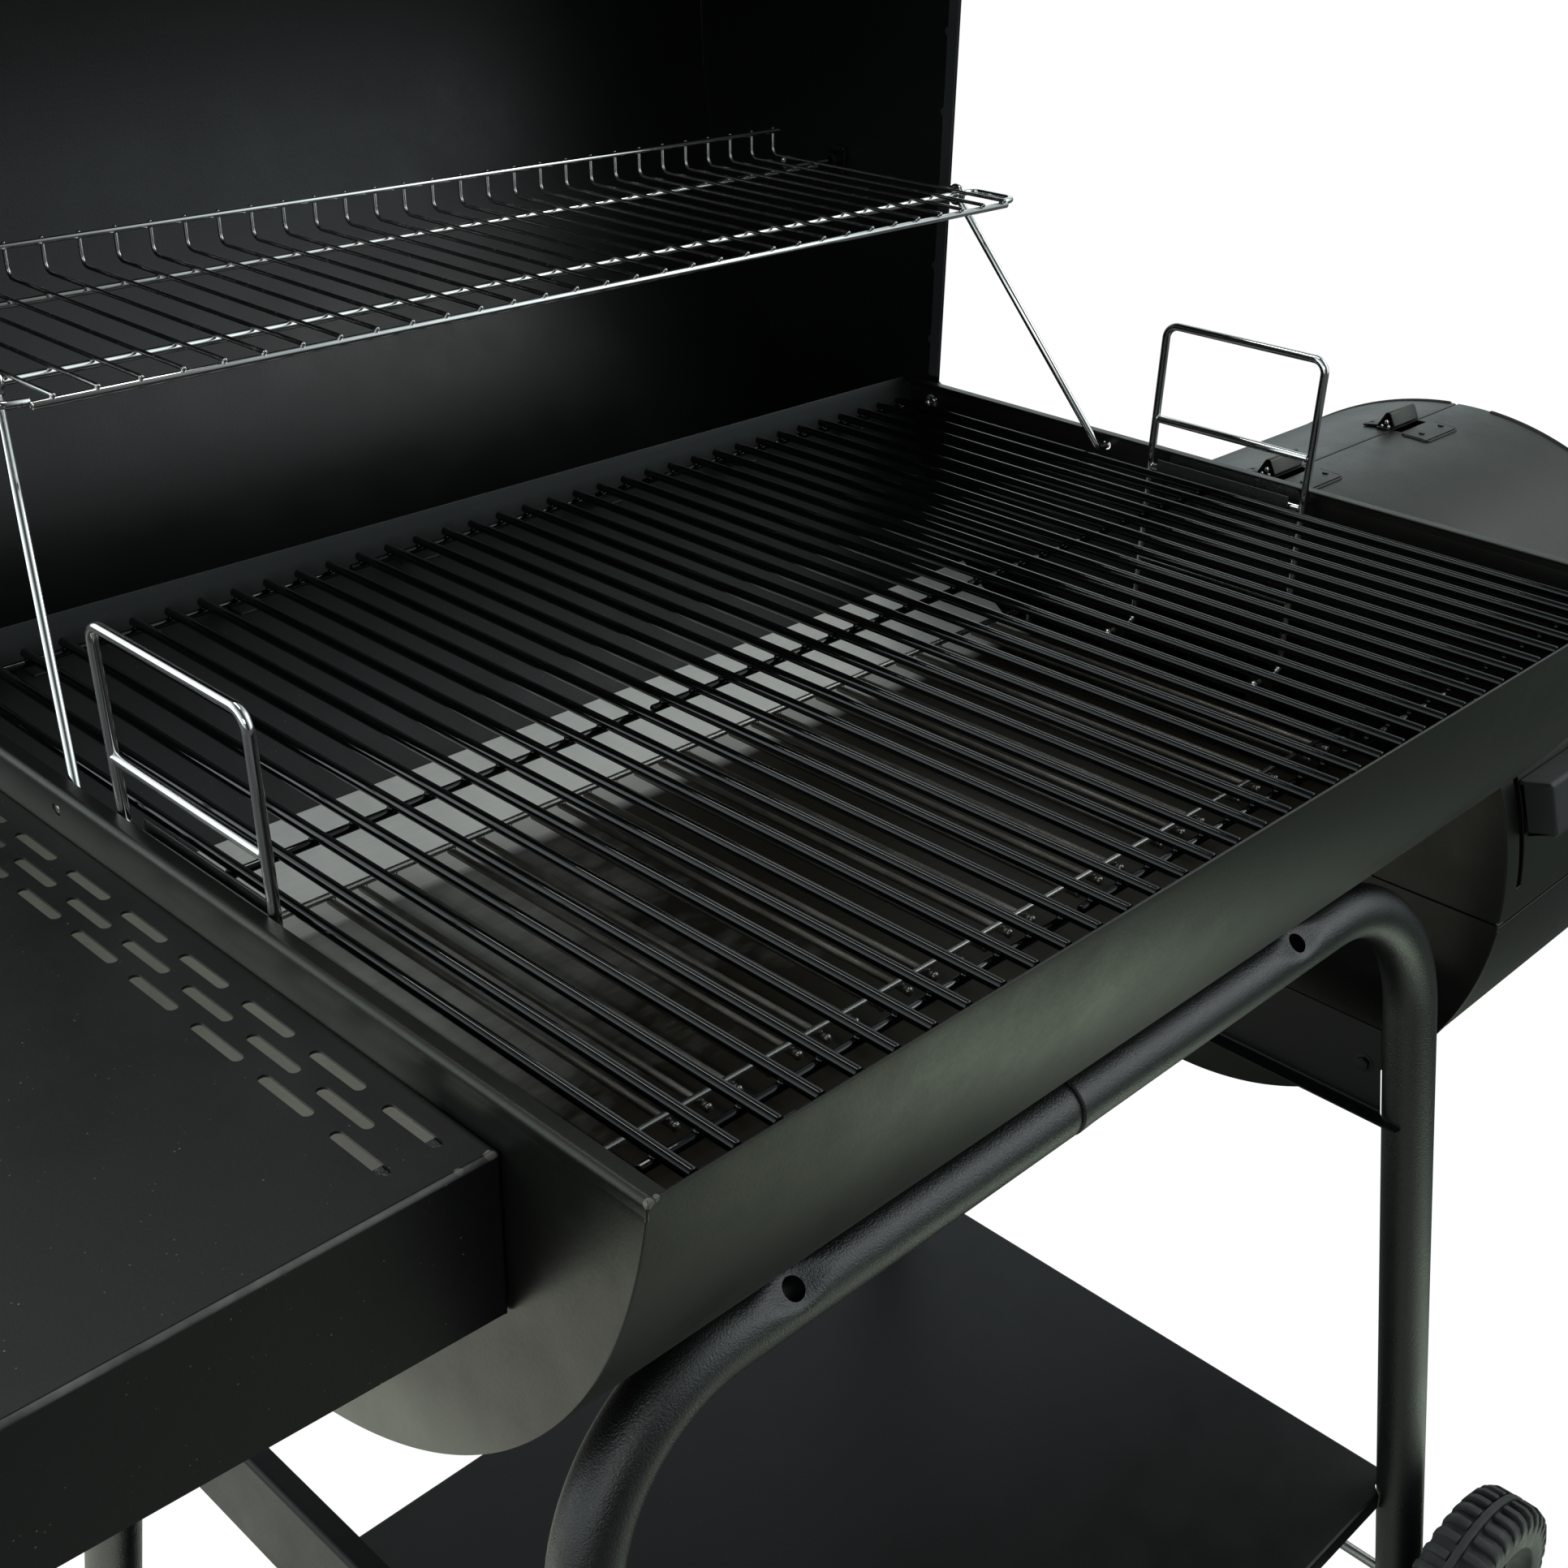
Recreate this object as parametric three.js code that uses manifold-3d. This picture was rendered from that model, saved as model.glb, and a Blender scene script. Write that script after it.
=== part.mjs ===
// Offset smoker: a barrel charcoal grill on four splayed tube legs, with a firebox on its right end,
// a slotted side table on its left end, a lid that carries a swing-up warming rack, and two wheels.
// Millimetres, +Z up. X runs along the barrel, Y from the front to the back, Z = 0 on the ground.
import * as THREE from "three";
import { mergeVertices } from "three/addons/utils/BufferGeometryUtils.js";
import Module from "manifold-3d";

const wasm = await Module();
wasm.setup();

// ---------------------------------------------------------------- driving dimensions
const OFFSET_X = -302; // moves the model's box centre to x = 0
const OFFSET_Y = -401.65; // and to y = 0
const RIM = 806.85; // height of the barrel's top edge
const SHEET = 1.2; // barrel and lid sheet
const GAP = 0.3; // clearance between neighbouring pieces

const BARREL_L = 679.5; // along X
const BARREL_W = 500; // along Y
const BARREL_ARC = { z: RIM + 24.5, a: 251.28, b: 243.5 }; // the section is the part of this ellipse under the rim
const PLATE = 1.3; // end plates
const FLANGE = 8.2; // inward flange on top of the end plates

const LID_W = 252.8; // half width of the lid
const LID_SIDE = 49.5; // straight skirt above the rim
const LID_CROWN = 159.5; // crown of the lid above the skirt
const LID_LIP = 15.4; // front skirt below the rim
const HINGE = { y: 479.05, z: RIM - 13.75 }; // lid pivot
const HINGE_EAR = 12;

const ARM_FOOT = { y: 340.45, z: RIM - 9.35 };
const ARM_HEAD = { y: 433.4, z: RIM + 129.8 };
const RACK_PIVOT = { y: 572.0, z: RIM + 125.4 };
const ARM_R = 1.8;
const ARM_EYE_X = 44.8;
const ARM_EYE_R = 4.4;

const RACK_WIRES = 32;
const RACK_X0 = 49.5;
const RACK_PITCH = 18.755;

const GRATE_BARS = 12; // in each of three grates
const GRATE_X0 = 25.99;
const GRATE_PITCH = 17.93;
const GRATE_Y = [8.8, 488];
const GRATE_RODS = [25.3, 257.4, 484.6];

const TRAY_X = [30, 650];
const TRAY_Z = RIM - 127.6;
const COAL_BARS = 35;
const COAL_X0 = 44.6;
const COAL_PITCH = 17.05;

const LADDER_X = 11;
const LADDER_Y = { left: [203.6, 306.4], right: [198.6, 301.4] };
const LADDER_R = 2.3;
const LADDER_TOP = { left: RIM + 76.9, right: RIM + 72.9 };
const LADDER_RUNGS = {
  left: [RIM + 22.4, RIM - 6.2, RIM - 69.3],
  right: [RIM + 18.4, RIM - 10.2, RIM - 66.3],
};
const LADDER_FOOT = RIM - 110;

const LEG_R = 15;
const LEG_WALL = 1.3;
const LEG_Y = 84.5;
const LEG_Z = RIM - 178.2;
const LEG_CORNER_X = [38.2, 39]; // from the left and from the right end
const LEG_BEND = [79, 100];
const LEG_JOINT_X = 321; // where the left and the right leg meet
const LEG_SLOPE_X = 0.0713;
const LEG_SLOPE_Y = 0.126;
const LEG_RIGHT_END = 66;
const LEG_BOLT_X = [142.5, 506];

const AXLE = { x: 679, z: 88.55, r: 3.5 };
const WHEEL_R = 88.5;
const WHEEL_W = 41;
const WHEEL_Y = [-25.7, 525.7];

const SHELF_Z = 168.85;
const TABLE_X = [-382, -0.3];
const TABLE_Y = [66, 434];
const TABLE_Z = RIM - 18.7;

const FIRE_X = [697, 972];
const FIRE_C = { y: 250, z: RIM - 222 };
const FIRE_R = 198;
const FIRE_T = 1.5;
const FIRE_HINGE = { y: 266, z: RIM - 20.4 };
const VENT = { y: 250, z: FIRE_C.z - 80, r: 46 };
const SMOKE = { y0: 210, y1: 308, z0: RIM - 160, z1: RIM - 101 };
const CHIMNEY = { x: 104.5, y: 250, r: 35, h: 150 };

// ---------------------------------------------------------------- finishes
const finish = (color, roughness, metalness) =>
  new THREE.MeshStandardMaterial({ color, roughness, metalness });
const MAT = {
  barrel: finish(0x17191b, 0.42, 0.55),
  leg: finish(0x1b1d1f, 0.45, 0.5),
  chrome: finish(0xd8d8d6, 0.14, 1),
  enamel: finish(0x0c0c0d, 0.22, 0.2),
  zinc: finish(0xb9bbb8, 0.36, 1),
  coal: finish(0x5b4c3e, 0.6, 0.6),
  wheel: finish(0x26282a, 0.6, 0),
  dial: finish(0xe8e6df, 0.4, 0.1),
};

// ---------------------------------------------------------------- helpers
const V = (x, y, z) => new THREE.Vector3(x, y, z);
const AX = V(1, 0, 0);
const AY = V(0, 1, 0);
const AZ = V(0, 0, 1);
const RAD = Math.PI / 180;

// A closed geometry as a solid: shared corners merged, collapsed faces dropped, faces turned outwards.
function solid(geometry) {
  const flat = geometry.index ? geometry.toNonIndexed() : geometry;
  const bare = new THREE.BufferGeometry().setAttribute(
    "position",
    flat.getAttribute("position").clone(),
  );
  const merged = mergeVertices(bare, 1e-4);
  const tri = [];
  const ix = merged.index.array;
  for (let i = 0; i < ix.length; i += 3)
    if (ix[i] !== ix[i + 1] && ix[i + 1] !== ix[i + 2] && ix[i] !== ix[i + 2])
      tri.push(ix[i], ix[i + 1], ix[i + 2]);
  const build = (t) =>
    new wasm.Manifold(
      new wasm.Mesh({
        numProp: 3,
        vertProperties: merged.attributes.position.array,
        triVerts: new Uint32Array(t),
      }),
    );
  const made = build(tri);
  if (made.volume() >= 0) return made;
  for (let i = 0; i < tri.length; i += 3)
    [tri[i + 1], tri[i + 2]] = [tri[i + 2], tri[i + 1]];
  return build(tri);
}

const asSolid = (g) => (g.isBufferGeometry ? solid(g) : g);
const join = (...parts) =>
  parts.flat().map(asSolid).reduce((a, b) => a.add(b));
const cut = (a, ...tools) =>
  tools.flat().map(asSolid).reduce((x, t) => x.subtract(t), asSolid(a));
const keep = (a, b) => asSolid(a).intersect(asSolid(b));

function mesh(group, name, shape, material) {
  const s = asSolid(shape);
  const m = s.getMesh();
  const v = new Float32Array(m.numVert * 3);
  for (let i = 0; i < m.numVert; i++)
    for (let k = 0; k < 3; k++) v[3 * i + k] = m.vertProperties[i * m.numProp + k];
  const g = new THREE.BufferGeometry()
    .setAttribute("position", new THREE.BufferAttribute(v, 3))
    .setIndex(new THREE.BufferAttribute(new Uint32Array(m.triVerts), 1));
  g.computeVertexNormals();
  const made = new THREE.Mesh(g, material);
  made.name = name;
  group.add(made);
  return s;
}

function outline(points, holes = []) {
  const shape = new THREE.Shape(points.map(([a, b]) => new THREE.Vector2(a, b)));
  for (const h of holes)
    shape.holes.push(new THREE.Path(h.map(([a, b]) => new THREE.Vector2(a, b))));
  return shape;
}
const extrude = (points, depth, holes) =>
  new THREE.ExtrudeGeometry(outline(points, holes), {
    depth,
    bevelEnabled: false,
    steps: 1,
  });
// (y, z) outline drawn out along X
const prismX = (points, x0, x1, holes) =>
  extrude(points, x1 - x0, holes).applyMatrix4(
    new THREE.Matrix4().makeBasis(AY, AZ, AX).setPosition(x0, 0, 0),
  );
// (x, z) outline drawn out along Y
const prismY = (points, y0, y1, holes) =>
  extrude(points, y1 - y0, holes).applyMatrix4(
    new THREE.Matrix4()
      .makeBasis(AX, AZ, AY.clone().negate())
      .setPosition(0, y1, 0),
  );
// (x, y) outline drawn out along Z
const prismZ = (points, z0, z1, holes) =>
  extrude(points, z1 - z0, holes).translate(0, 0, z0);
const block = (x0, x1, y0, y1, z0, z1) =>
  new THREE.BoxGeometry(x1 - x0, y1 - y0, z1 - z0).translate(
    (x0 + x1) / 2,
    (y0 + y1) / 2,
    (z0 + z1) / 2,
  );
function arc(ca, cb, ra, rb, from, to, n) {
  const out = [];
  for (let i = 0; i <= n; i++) {
    const t = (from + ((to - from) * i) / n) * RAD;
    out.push([ca + ra * Math.cos(t), cb + rb * Math.sin(t)]);
  }
  return out;
}
const circle = (ca, cb, r, n = 12, turn = 0) =>
  arc(ca, cb, r, r, turn, turn + 360 - 360 / n, n - 1);
// A round bar between two points.
function rod(p, q, r, n = 6, r2 = r) {
  const d = q.clone().sub(p);
  return new THREE.CylinderGeometry(r2, r, d.length(), n, 1)
    .applyQuaternion(
      new THREE.Quaternion().setFromUnitVectors(AY, d.clone().normalize()),
    )
    .translate((p.x + q.x) / 2, (p.y + q.y) / 2, (p.z + q.z) / 2);
}
// A lathe profile of [along, radius] pairs turned round a line.
function lathe(profile, at, along, n = 24) {
  return new THREE.LatheGeometry(
    profile.map(([h, r]) => new THREE.Vector2(r, h)),
    n,
  )
    .applyQuaternion(
      new THREE.Quaternion().setFromUnitVectors(AY, along.clone().normalize()),
    )
    .translate(at.x, at.y, at.z);
}
const closed = (profile) => [...profile, profile[0]];
// Corner points with each inner corner rounded to a radius.
function rounded(points, radius, n = 4) {
  const out = [points[0]];
  for (let i = 1; i < points.length - 1; i++) {
    const b = points[i];
    const u = points[i - 1].clone().sub(b).normalize();
    const v = points[i + 1].clone().sub(b).normalize();
    const turn = Math.PI - u.angleTo(v);
    const r = Array.isArray(radius) ? radius[i - 1] : radius;
    const c = b
      .clone()
      .add(u.clone().add(v).normalize().multiplyScalar(r / Math.cos(turn / 2)));
    const s = b.clone().addScaledVector(u, r * Math.tan(turn / 2)).sub(c);
    const axis = s
      .clone()
      .cross(b.clone().addScaledVector(v, r * Math.tan(turn / 2)).sub(c))
      .normalize();
    for (let k = 0; k <= n; k++)
      out.push(s.clone().applyAxisAngle(axis, (turn * k) / n).add(c));
  }
  out.push(points[points.length - 1]);
  return out;
}
// A path through the given corners, with a section square to the mean direction at each.
class BentPath extends THREE.Curve {
  constructor(points) {
    super();
    this.points = points;
  }
  getPoint(t) {
    const s = t * (this.points.length - 1);
    const i = Math.min(Math.floor(s), this.points.length - 2);
    return this.points[i].clone().lerp(this.points[i + 1], s - i);
  }
  getSpacedPoints() {
    return this.points.map((p) => p.clone());
  }
  getTangentAt(u) {
    const p = this.points;
    const i = Math.round(u * (p.length - 1));
    const d = V(0, 0, 0);
    if (i > 0) d.add(p[i].clone().sub(p[i - 1]).normalize());
    if (i < p.length - 1) d.add(p[i + 1].clone().sub(p[i]).normalize());
    return d.normalize();
  }
}
// A bent wire, or a tube when an inner radius is given.
function wire(points, r, n = 6, inner = 0) {
  return new THREE.ExtrudeGeometry(
    outline(circle(0, 0, r, n), inner ? [circle(0, 0, inner, n)] : []),
    {
      steps: points.length - 1,
      bevelEnabled: false,
      extrudePath: new BentPath(points),
    },
  );
}
const mirrorX = (x) => BARREL_L - x; // the barrel is alike at both ends
const mirrored = (flip, x) => (flip ? mirrorX(x) : x);
const span = (flip, x0, x1) =>
  flip ? [mirrorX(x1), mirrorX(x0)] : [x0, x1];

// ---------------------------------------------------------------- scene graph
const smoker = new THREE.Group();
smoker.position.set(OFFSET_X, OFFSET_Y, 0);

const barrel = new THREE.Group();
const stand = new THREE.Group();
const firebox = new THREE.Group();
const tray = new THREE.Group();
const rack = new THREE.Group();
smoker.add(barrel, stand, firebox, tray, rack);

// The lid is drawn closed inside a frame that stands it up by a quarter turn on its pivot.
const lidSwing = new THREE.Group();
lidSwing.position.set(0, HINGE.y, HINGE.z);
lidSwing.rotation.x = -Math.PI / 2;
const lid = new THREE.Group();
lid.position.set(0, -HINGE.y, -HINGE.z);
lidSwing.add(lid);
smoker.add(lidSwing);

// ---------------------------------------------------------------- barrel
const MID_Y = BARREL_W / 2;
{
  const section = (t) => {
    const from = 180 + Math.asin((BARREL_ARC.z - RIM) / (BARREL_ARC.b - t)) / RAD;
    return arc(MID_Y, BARREL_ARC.z, BARREL_ARC.a - t, BARREL_ARC.b - t, from, 540 - from, 26);
  };
  const out = section(0);
  const inn = section(SHEET).reverse();
  const lugs = [];
  for (const x of [66, 172, 278, 402, 508, 614]) {
    lugs.push(block(x - 8, x + 8, 2.5, 13.5, RIM - 14.6, RIM - 12.3));
    lugs.push(block(x - 8, x + 8, 476, 496.9, RIM - 18, RIM - 15.7));
  }
  mesh(
    barrel,
    "body_shell",
    join(prismX([...out, ...inn], 1.6, BARREL_L - 1.6), lugs),
    MAT.barrel,
  );

  const smoke = [
    ...arc(SMOKE.y1 - 18, SMOKE.z1 - 18, 18, 18, 0, 90, 4),
    ...arc(SMOKE.y0 + 18, SMOKE.z1 - 18, 18, 18, 90, 180, 4),
    ...arc(SMOKE.y0 + 18, SMOKE.z0 + 18, 18, 18, 180, 270, 4),
    ...arc(SMOKE.y1 - 18, SMOKE.z0 + 18, 18, 18, 270, 360, 4),
  ];
  for (const [side, flip] of [
    ["left", false],
    ["right", true],
  ]) {
    const holes = [
      circle(ARM_FOOT.y, ARM_FOOT.z, 2.8, 10),
      circle(HINGE.y, HINGE.z, 4.4, 10),
    ];
    if (flip) holes.push(smoke);
    const plate = prismX(out, ...span(flip, 0, PLATE), holes);
    const [fx0, fx1] = span(flip, 0, FLANGE);
    mesh(
      barrel,
      "body_end_" + side,
      join(plate, block(fx0, fx1, 1.6, BARREL_W - 1.6, RIM - PLATE, RIM)),
      MAT.barrel,
    );
    // J-shaped steel hanger that carries one rung of a tray handle
    const [a0, a1] = span(flip, 1.6, 2.8);
    const [b0, b1] = span(flip, 1.6, 15.8);
    const [c0, c1] = span(flip, 14.6, 15.8);
    const [h0, h1] = [LADDER_Y[side][0] + 7.4, LADDER_Y[side][1] - 7.4];
    const floor = LADDER_RUNGS[side][1] - LADDER_R - 0.4;
    const back = prismX(
      [
        [h0, RIM - 2],
        [h1, RIM - 2],
        [h1, RIM - 34],
        [h1 - 6, RIM - 40],
        [h0 + 6, RIM - 40],
        [h0, RIM - 34],
      ],
      a0,
      a1,
    );
    mesh(
      barrel,
      "hanger_bracket_" + side,
      join(
        back,
        block(b0, b1, h0, h1, floor - 1.2, floor),
        block(c0, c1, h0, h1, floor - 1.2, floor + (flip ? 9 : 6.9)),
      ),
      MAT.barrel,
    );
    // pivot bolt of the lid: head outside, nut inside
    const dir = flip ? -1 : 1;
    const bx = (x) => mirrored(flip, x);
    mesh(
      barrel,
      "lid_bolt_" + side,
      join(
        rod(V(bx(-4.5), HINGE.y, HINGE.z), V(bx(8), HINGE.y, HINGE.z), 3.5, 10),
        rod(V(bx(-7.6), HINGE.y, HINGE.z), V(bx(-3.5), HINGE.y, HINGE.z), 6.6, 6),
        rod(V(bx(1.8), HINGE.y, HINGE.z), V(bx(6), HINGE.y, HINGE.z), 6.2, 6),
      ),
      MAT.chrome,
    );
  }

  // cooking grates: long bars along Y on three cross rods each
  ["grate_left", "grate_center", "grate_right"].forEach((name, g) => {
    const x = (k) => GRATE_X0 + GRATE_PITCH * (g * GRATE_BARS + k);
    const bars = [];
    for (let k = 0; k < GRATE_BARS; k++)
      bars.push(
        block(x(k) - 2.2, x(k) + 2.2, GRATE_Y[0], GRATE_Y[1], RIM - 11.8, RIM - 7.2),
      );
    const rods = GRATE_RODS.map((y) =>
      block(
        x(0) - 7,
        x(GRATE_BARS - 1) + 7,
        y - 1.7,
        y + 1.7,
        RIM - 15.2,
        RIM - 11.5,
      ),
    );
    mesh(barrel, name, join(bars, rods), MAT.enamel);
  });

  // collar that joins the firebox to the barrel round the smoke opening
  const grow = (s) => [
    ...arc(SMOKE.y1 - 18, SMOKE.z1 - 18, 18 + s, 18 + s, 0, 90, 4),
    ...arc(SMOKE.y0 + 18, SMOKE.z1 - 18, 18 + s, 18 + s, 90, 180, 4),
    ...arc(SMOKE.y0 + 18, SMOKE.z0 + 18, 18 + s, 18 + s, 180, 270, 4),
    ...arc(SMOKE.y1 - 18, SMOKE.z0 + 18, 18 + s, 18 + s, 270, 360, 4),
  ];
  mesh(
    firebox,
    "smoke_collar",
    prismX(grow(5), BARREL_L + GAP, FIRE_X[0] - GAP, [grow(1)]),
    MAT.barrel,
  );

  // ---- firebox drum
  const { y: cy, z: cz } = FIRE_C;
  const fo = (a0, a1, n) => arc(cy, cz, FIRE_R, FIRE_R, a0, a1, n);
  const fi = (a0, a1, n) =>
    arc(cy, cz, FIRE_R - FIRE_T, FIRE_R - FIRE_T, a0, a1, n);
  mesh(
    firebox,
    "firebox_shell",
    prismX(
      [...fo(182.7, 446.3, 30), ...fi(446.3, 182.7, 30)],
      FIRE_X[0] + FIRE_T + GAP,
      FIRE_X[1] - FIRE_T - GAP,
    ),
    MAT.barrel,
  );
  // the lid takes the front upper quarter; its end plates close the drum's ends in front of a slanting line
  const lidEnd = [
    ...fo(93.2, 182.2, 14),
    [132, cz - 7.6],
    [238.5, cz + FIRE_R - 2.7],
  ];
  const lidKeepOut = [
    [20, RIM + 20],
    [20, cz - 8.2],
    [132.7, cz - 8.2],
    [246, cz + FIRE_R - 3],
    [263, cz + FIRE_R - 3],
    [263, RIM + 20],
  ];
  const left = cut(
    prismX(circle(cy, cz, FIRE_R, 40), FIRE_X[0], FIRE_X[0] + FIRE_T, [smoke]),
    prismX(lidKeepOut, FIRE_X[0] - 5, FIRE_X[0] + 5),
  );
  mesh(firebox, "firebox_end_left", left, MAT.barrel);
  const ventHoles = [90, 210, 330].map((a) =>
    circle(
      VENT.y + 26 * Math.cos(a * RAD),
      VENT.z + 26 * Math.sin(a * RAD),
      12,
      10,
    ),
  );
  const pin = circle(VENT.y, VENT.z, 3.4, 10);
  const right = cut(
    join(
      prismX(
        circle(cy, cz, FIRE_R, 40),
        FIRE_X[1] - FIRE_T,
        FIRE_X[1],
        [...ventHoles, pin],
      ),
    ),
    prismX(lidKeepOut, FIRE_X[1] - 5, FIRE_X[1] + 5),
  );
  mesh(firebox, "firebox_end_right", right, MAT.barrel);
  const shutter = prismX(
    circle(VENT.y, VENT.z, VENT.r, 20),
    FIRE_X[1] + 0.5,
    FIRE_X[1] + 2,
    [90, 210, 330].map((a) =>
      circle(
        VENT.y + 26 * Math.cos(a * RAD),
        VENT.z + 26 * Math.sin(a * RAD),
        11,
        10,
      ),
    ),
  );
  mesh(
    firebox,
    "vent_disc",
    join(
      shutter,
      rod(V(FIRE_X[1] - 4, VENT.y, VENT.z), V(FIRE_X[1] + 4.5, VENT.y, VENT.z), 2.8, 10),
      rod(V(FIRE_X[1] + 1.8, VENT.y, VENT.z), V(FIRE_X[1] + 4.2, VENT.y, VENT.z), 6, 12),
      rod(V(FIRE_X[1] + 1.2, VENT.y, VENT.z - 38), V(FIRE_X[1] + 14, VENT.y, VENT.z - 38), 4.5, 10),
    ),
    MAT.zinc,
  );

  // ---- firebox lid with its end plates and middle knuckles
  const hinges = [
    [741, 772],
    [884, 915],
  ];
  const knuckle = (x0, x1, r0) =>
    prismX(circle(FIRE_HINGE.y, FIRE_HINGE.z, 3.9, 8), x0, x1, [
      circle(FIRE_HINGE.y, FIRE_HINGE.z, r0, 8),
    ]);
  const lidShell = prismX(
    [...fo(86.9, 182.2, 15), ...fi(182.2, 86.9, 15)],
    FIRE_X[0],
    FIRE_X[1],
  );
  const leafOut = (a0, a1) => [
    ...arc(cy, cz, FIRE_R + 1.4, FIRE_R + 1.4, a0, a1, 3),
    ...arc(cy, cz, FIRE_R - 0.5, FIRE_R - 0.5, a1, a0, 3),
  ];
  const lidLeaves = hinges.map(([x0, x1]) =>
    join(
      prismX(leafOut(87.5, 92.5), x0 - 6.5, x1 + 6.5),
      knuckle(x0 + 7.5, x1 - 7.5, 2.4),
      block(x0 + 7.5, x1 - 7.5, FIRE_HINGE.y - 7.5, FIRE_HINGE.y - 3.6, FIRE_HINGE.z - 4.4, FIRE_HINGE.z + 0.4),
      block(x0 + 7.5, x1 - 7.5, FIRE_HINGE.y - 4.5, FIRE_HINGE.y - 2.6, FIRE_HINGE.z - 2.2, FIRE_HINGE.z + 0.4),
    ),
  );
  mesh(
    firebox,
    "firebox_lid",
    join(
      lidShell,
      prismX(lidEnd, FIRE_X[0], FIRE_X[0] + FIRE_T),
      prismX(lidEnd, FIRE_X[1] - FIRE_T, FIRE_X[1]),
      lidLeaves,
    ),
    MAT.barrel,
  );
  // fixed half of each hinge: a leaf on the shell, two outer knuckles and the pin
  hinges.forEach(([x0, x1], i) => {
    const leaf = [
      ...arc(cy, cz, FIRE_R + 2, FIRE_R + 2, 83.9, 77.5, 4),
      ...arc(cy, cz, FIRE_R + 0.4, FIRE_R + 0.4, 77.5, 83.9, 4),
    ];
    mesh(
      firebox,
      i ? "firebox_hinge_right" : "firebox_hinge_left",
      join(
        prismX(leaf, x0, x1),
        block(x0, x0 + 6.6, FIRE_HINGE.y + 1, FIRE_HINGE.y + 9, FIRE_HINGE.z - 3.4, FIRE_HINGE.z - 1.2),
        block(x1 - 6.6, x1, FIRE_HINGE.y + 1, FIRE_HINGE.y + 9, FIRE_HINGE.z - 3.4, FIRE_HINGE.z - 1.2),
        rod(V(x0, FIRE_HINGE.y, FIRE_HINGE.z), V(x0 + 6.6, FIRE_HINGE.y, FIRE_HINGE.z), 3.6, 8),
        rod(V(x1 - 6.6, FIRE_HINGE.y, FIRE_HINGE.z), V(x1, FIRE_HINGE.y, FIRE_HINGE.z), 3.6, 8),
        rod(V(x0 - 1, FIRE_HINGE.y, FIRE_HINGE.z), V(x1 + 1, FIRE_HINGE.y, FIRE_HINGE.z), 1.9, 8),
      ),
      MAT.barrel,
    );
  });
  // block handle on the firebox lid
  mesh(
    firebox,
    "firebox_handle",
    join(
      prismX(
        [
          ...arc(cy, cz, FIRE_R + 0.6, FIRE_R + 0.6, 158, 167.6, 3),
          ...arc(cy, cz, FIRE_R + 20, FIRE_R + 20, 167.2, 158.6, 3),
        ],
        717,
        952,
      ),
    ),
    MAT.enamel,
  );
  // fire grate: bars along X on two cross bars
  const fg = [];
  for (let k = 0; k < 10; k++) {
    const y = 250 - 144 + 32 * k;
    fg.push(block(707, 962, y - 2.5, y + 2.5, FIRE_C.z - 88, FIRE_C.z - 82));
  }
  for (const x of [742, 927])
    fg.push(block(x - 3, x + 3, 250 - 169, 250 + 169, FIRE_C.z - 93, FIRE_C.z - 87.5));
  mesh(firebox, "fire_grate", join(fg), MAT.coal);
}

// ---------------------------------------------------------------- charcoal tray, its grate and handles
{
  const mid = [
    [422.4, RIM - 100.1],
    [385, TRAY_Z],
    [115, TRAY_Z],
    [77.6, RIM - 100.1],
  ];
  const up = mid.map(([y, z]) => [y, z + 0.5]).reverse();
  const pan = prismX([...mid.map(([y, z]) => [y, z - 0.5]), ...up], ...TRAY_X);
  const ears = [];
  for (const flip of [false, true])
    for (const y of LADDER_Y[flip ? "right" : "left"])
      ears.push(
        prismX(
          [
            [y - 8, TRAY_Z],
            [y + 8, TRAY_Z],
            [y + 8, RIM - 106],
            [y + 4, RIM - 102],
            [y - 4, RIM - 102],
            [y - 8, RIM - 106],
          ],
          ...span(flip, 30, 31),
          [circle(y, LADDER_FOOT, 2.8, 8)],
        ),
      );
  mesh(tray, "charcoal_tray", join(pan, ears), MAT.zinc);

  const bars = [];
  for (let k = 0; k < COAL_BARS; k++) {
    const x = COAL_X0 + COAL_PITCH * k;
    bars.push(block(x - 1.8, x + 1.8, 128.5, 364.5, RIM - 115.8, RIM - 111.4));
  }
  const rods = [134.2, 361.5].map((y) =>
    prismY(
      [
        [34.2, TRAY_Z + 1],
        [34.2, LADDER_FOOT - 1.2],
        [37.2, LADDER_FOOT + 1.7],
        [642.3, LADDER_FOOT + 1.7],
        [645.3, LADDER_FOOT - 1.2],
        [645.3, TRAY_Z + 1],
        [641.9, TRAY_Z + 1],
        [641.9, LADDER_FOOT - 1.7],
        [37.6, LADDER_FOOT - 1.7],
        [37.6, TRAY_Z + 1],
      ],
      y - 1.7,
      y + 1.7,
    ),
  );
  mesh(tray, "charcoal_grate", join(bars, rods), MAT.coal);

  for (const [side, flip] of [
    ["left", false],
    ["right", true],
  ]) {
    const x = mirrored(flip, LADDER_X);
    const toe = mirrored(flip, 37);
    const [ya, yb] = LADDER_Y[side];
    const top = LADDER_TOP[side];
    const frame = wire(
      rounded(
        [
          V(toe, ya, LADDER_FOOT),
          V(x, ya, LADDER_FOOT),
          V(x, ya, top),
          V(x, yb, top),
          V(x, yb, LADDER_FOOT),
          V(toe, yb, LADDER_FOOT),
        ],
        [6, 8, 8, 6],
        2,
      ),
      LADDER_R,
      6,
    );
    const rungs = LADDER_RUNGS[side].map((z) => rod(V(x, ya, z), V(x, yb, z), LADDER_R, 6));
    const balls = LADDER_Y[side].map((y) =>
      new THREE.SphereGeometry(3.1, 6, 4).translate(toe, y, LADDER_FOOT),
    );
    mesh(tray, "tray_handle_" + side, join(frame, rungs, balls), MAT.chrome);
  }
}

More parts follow.
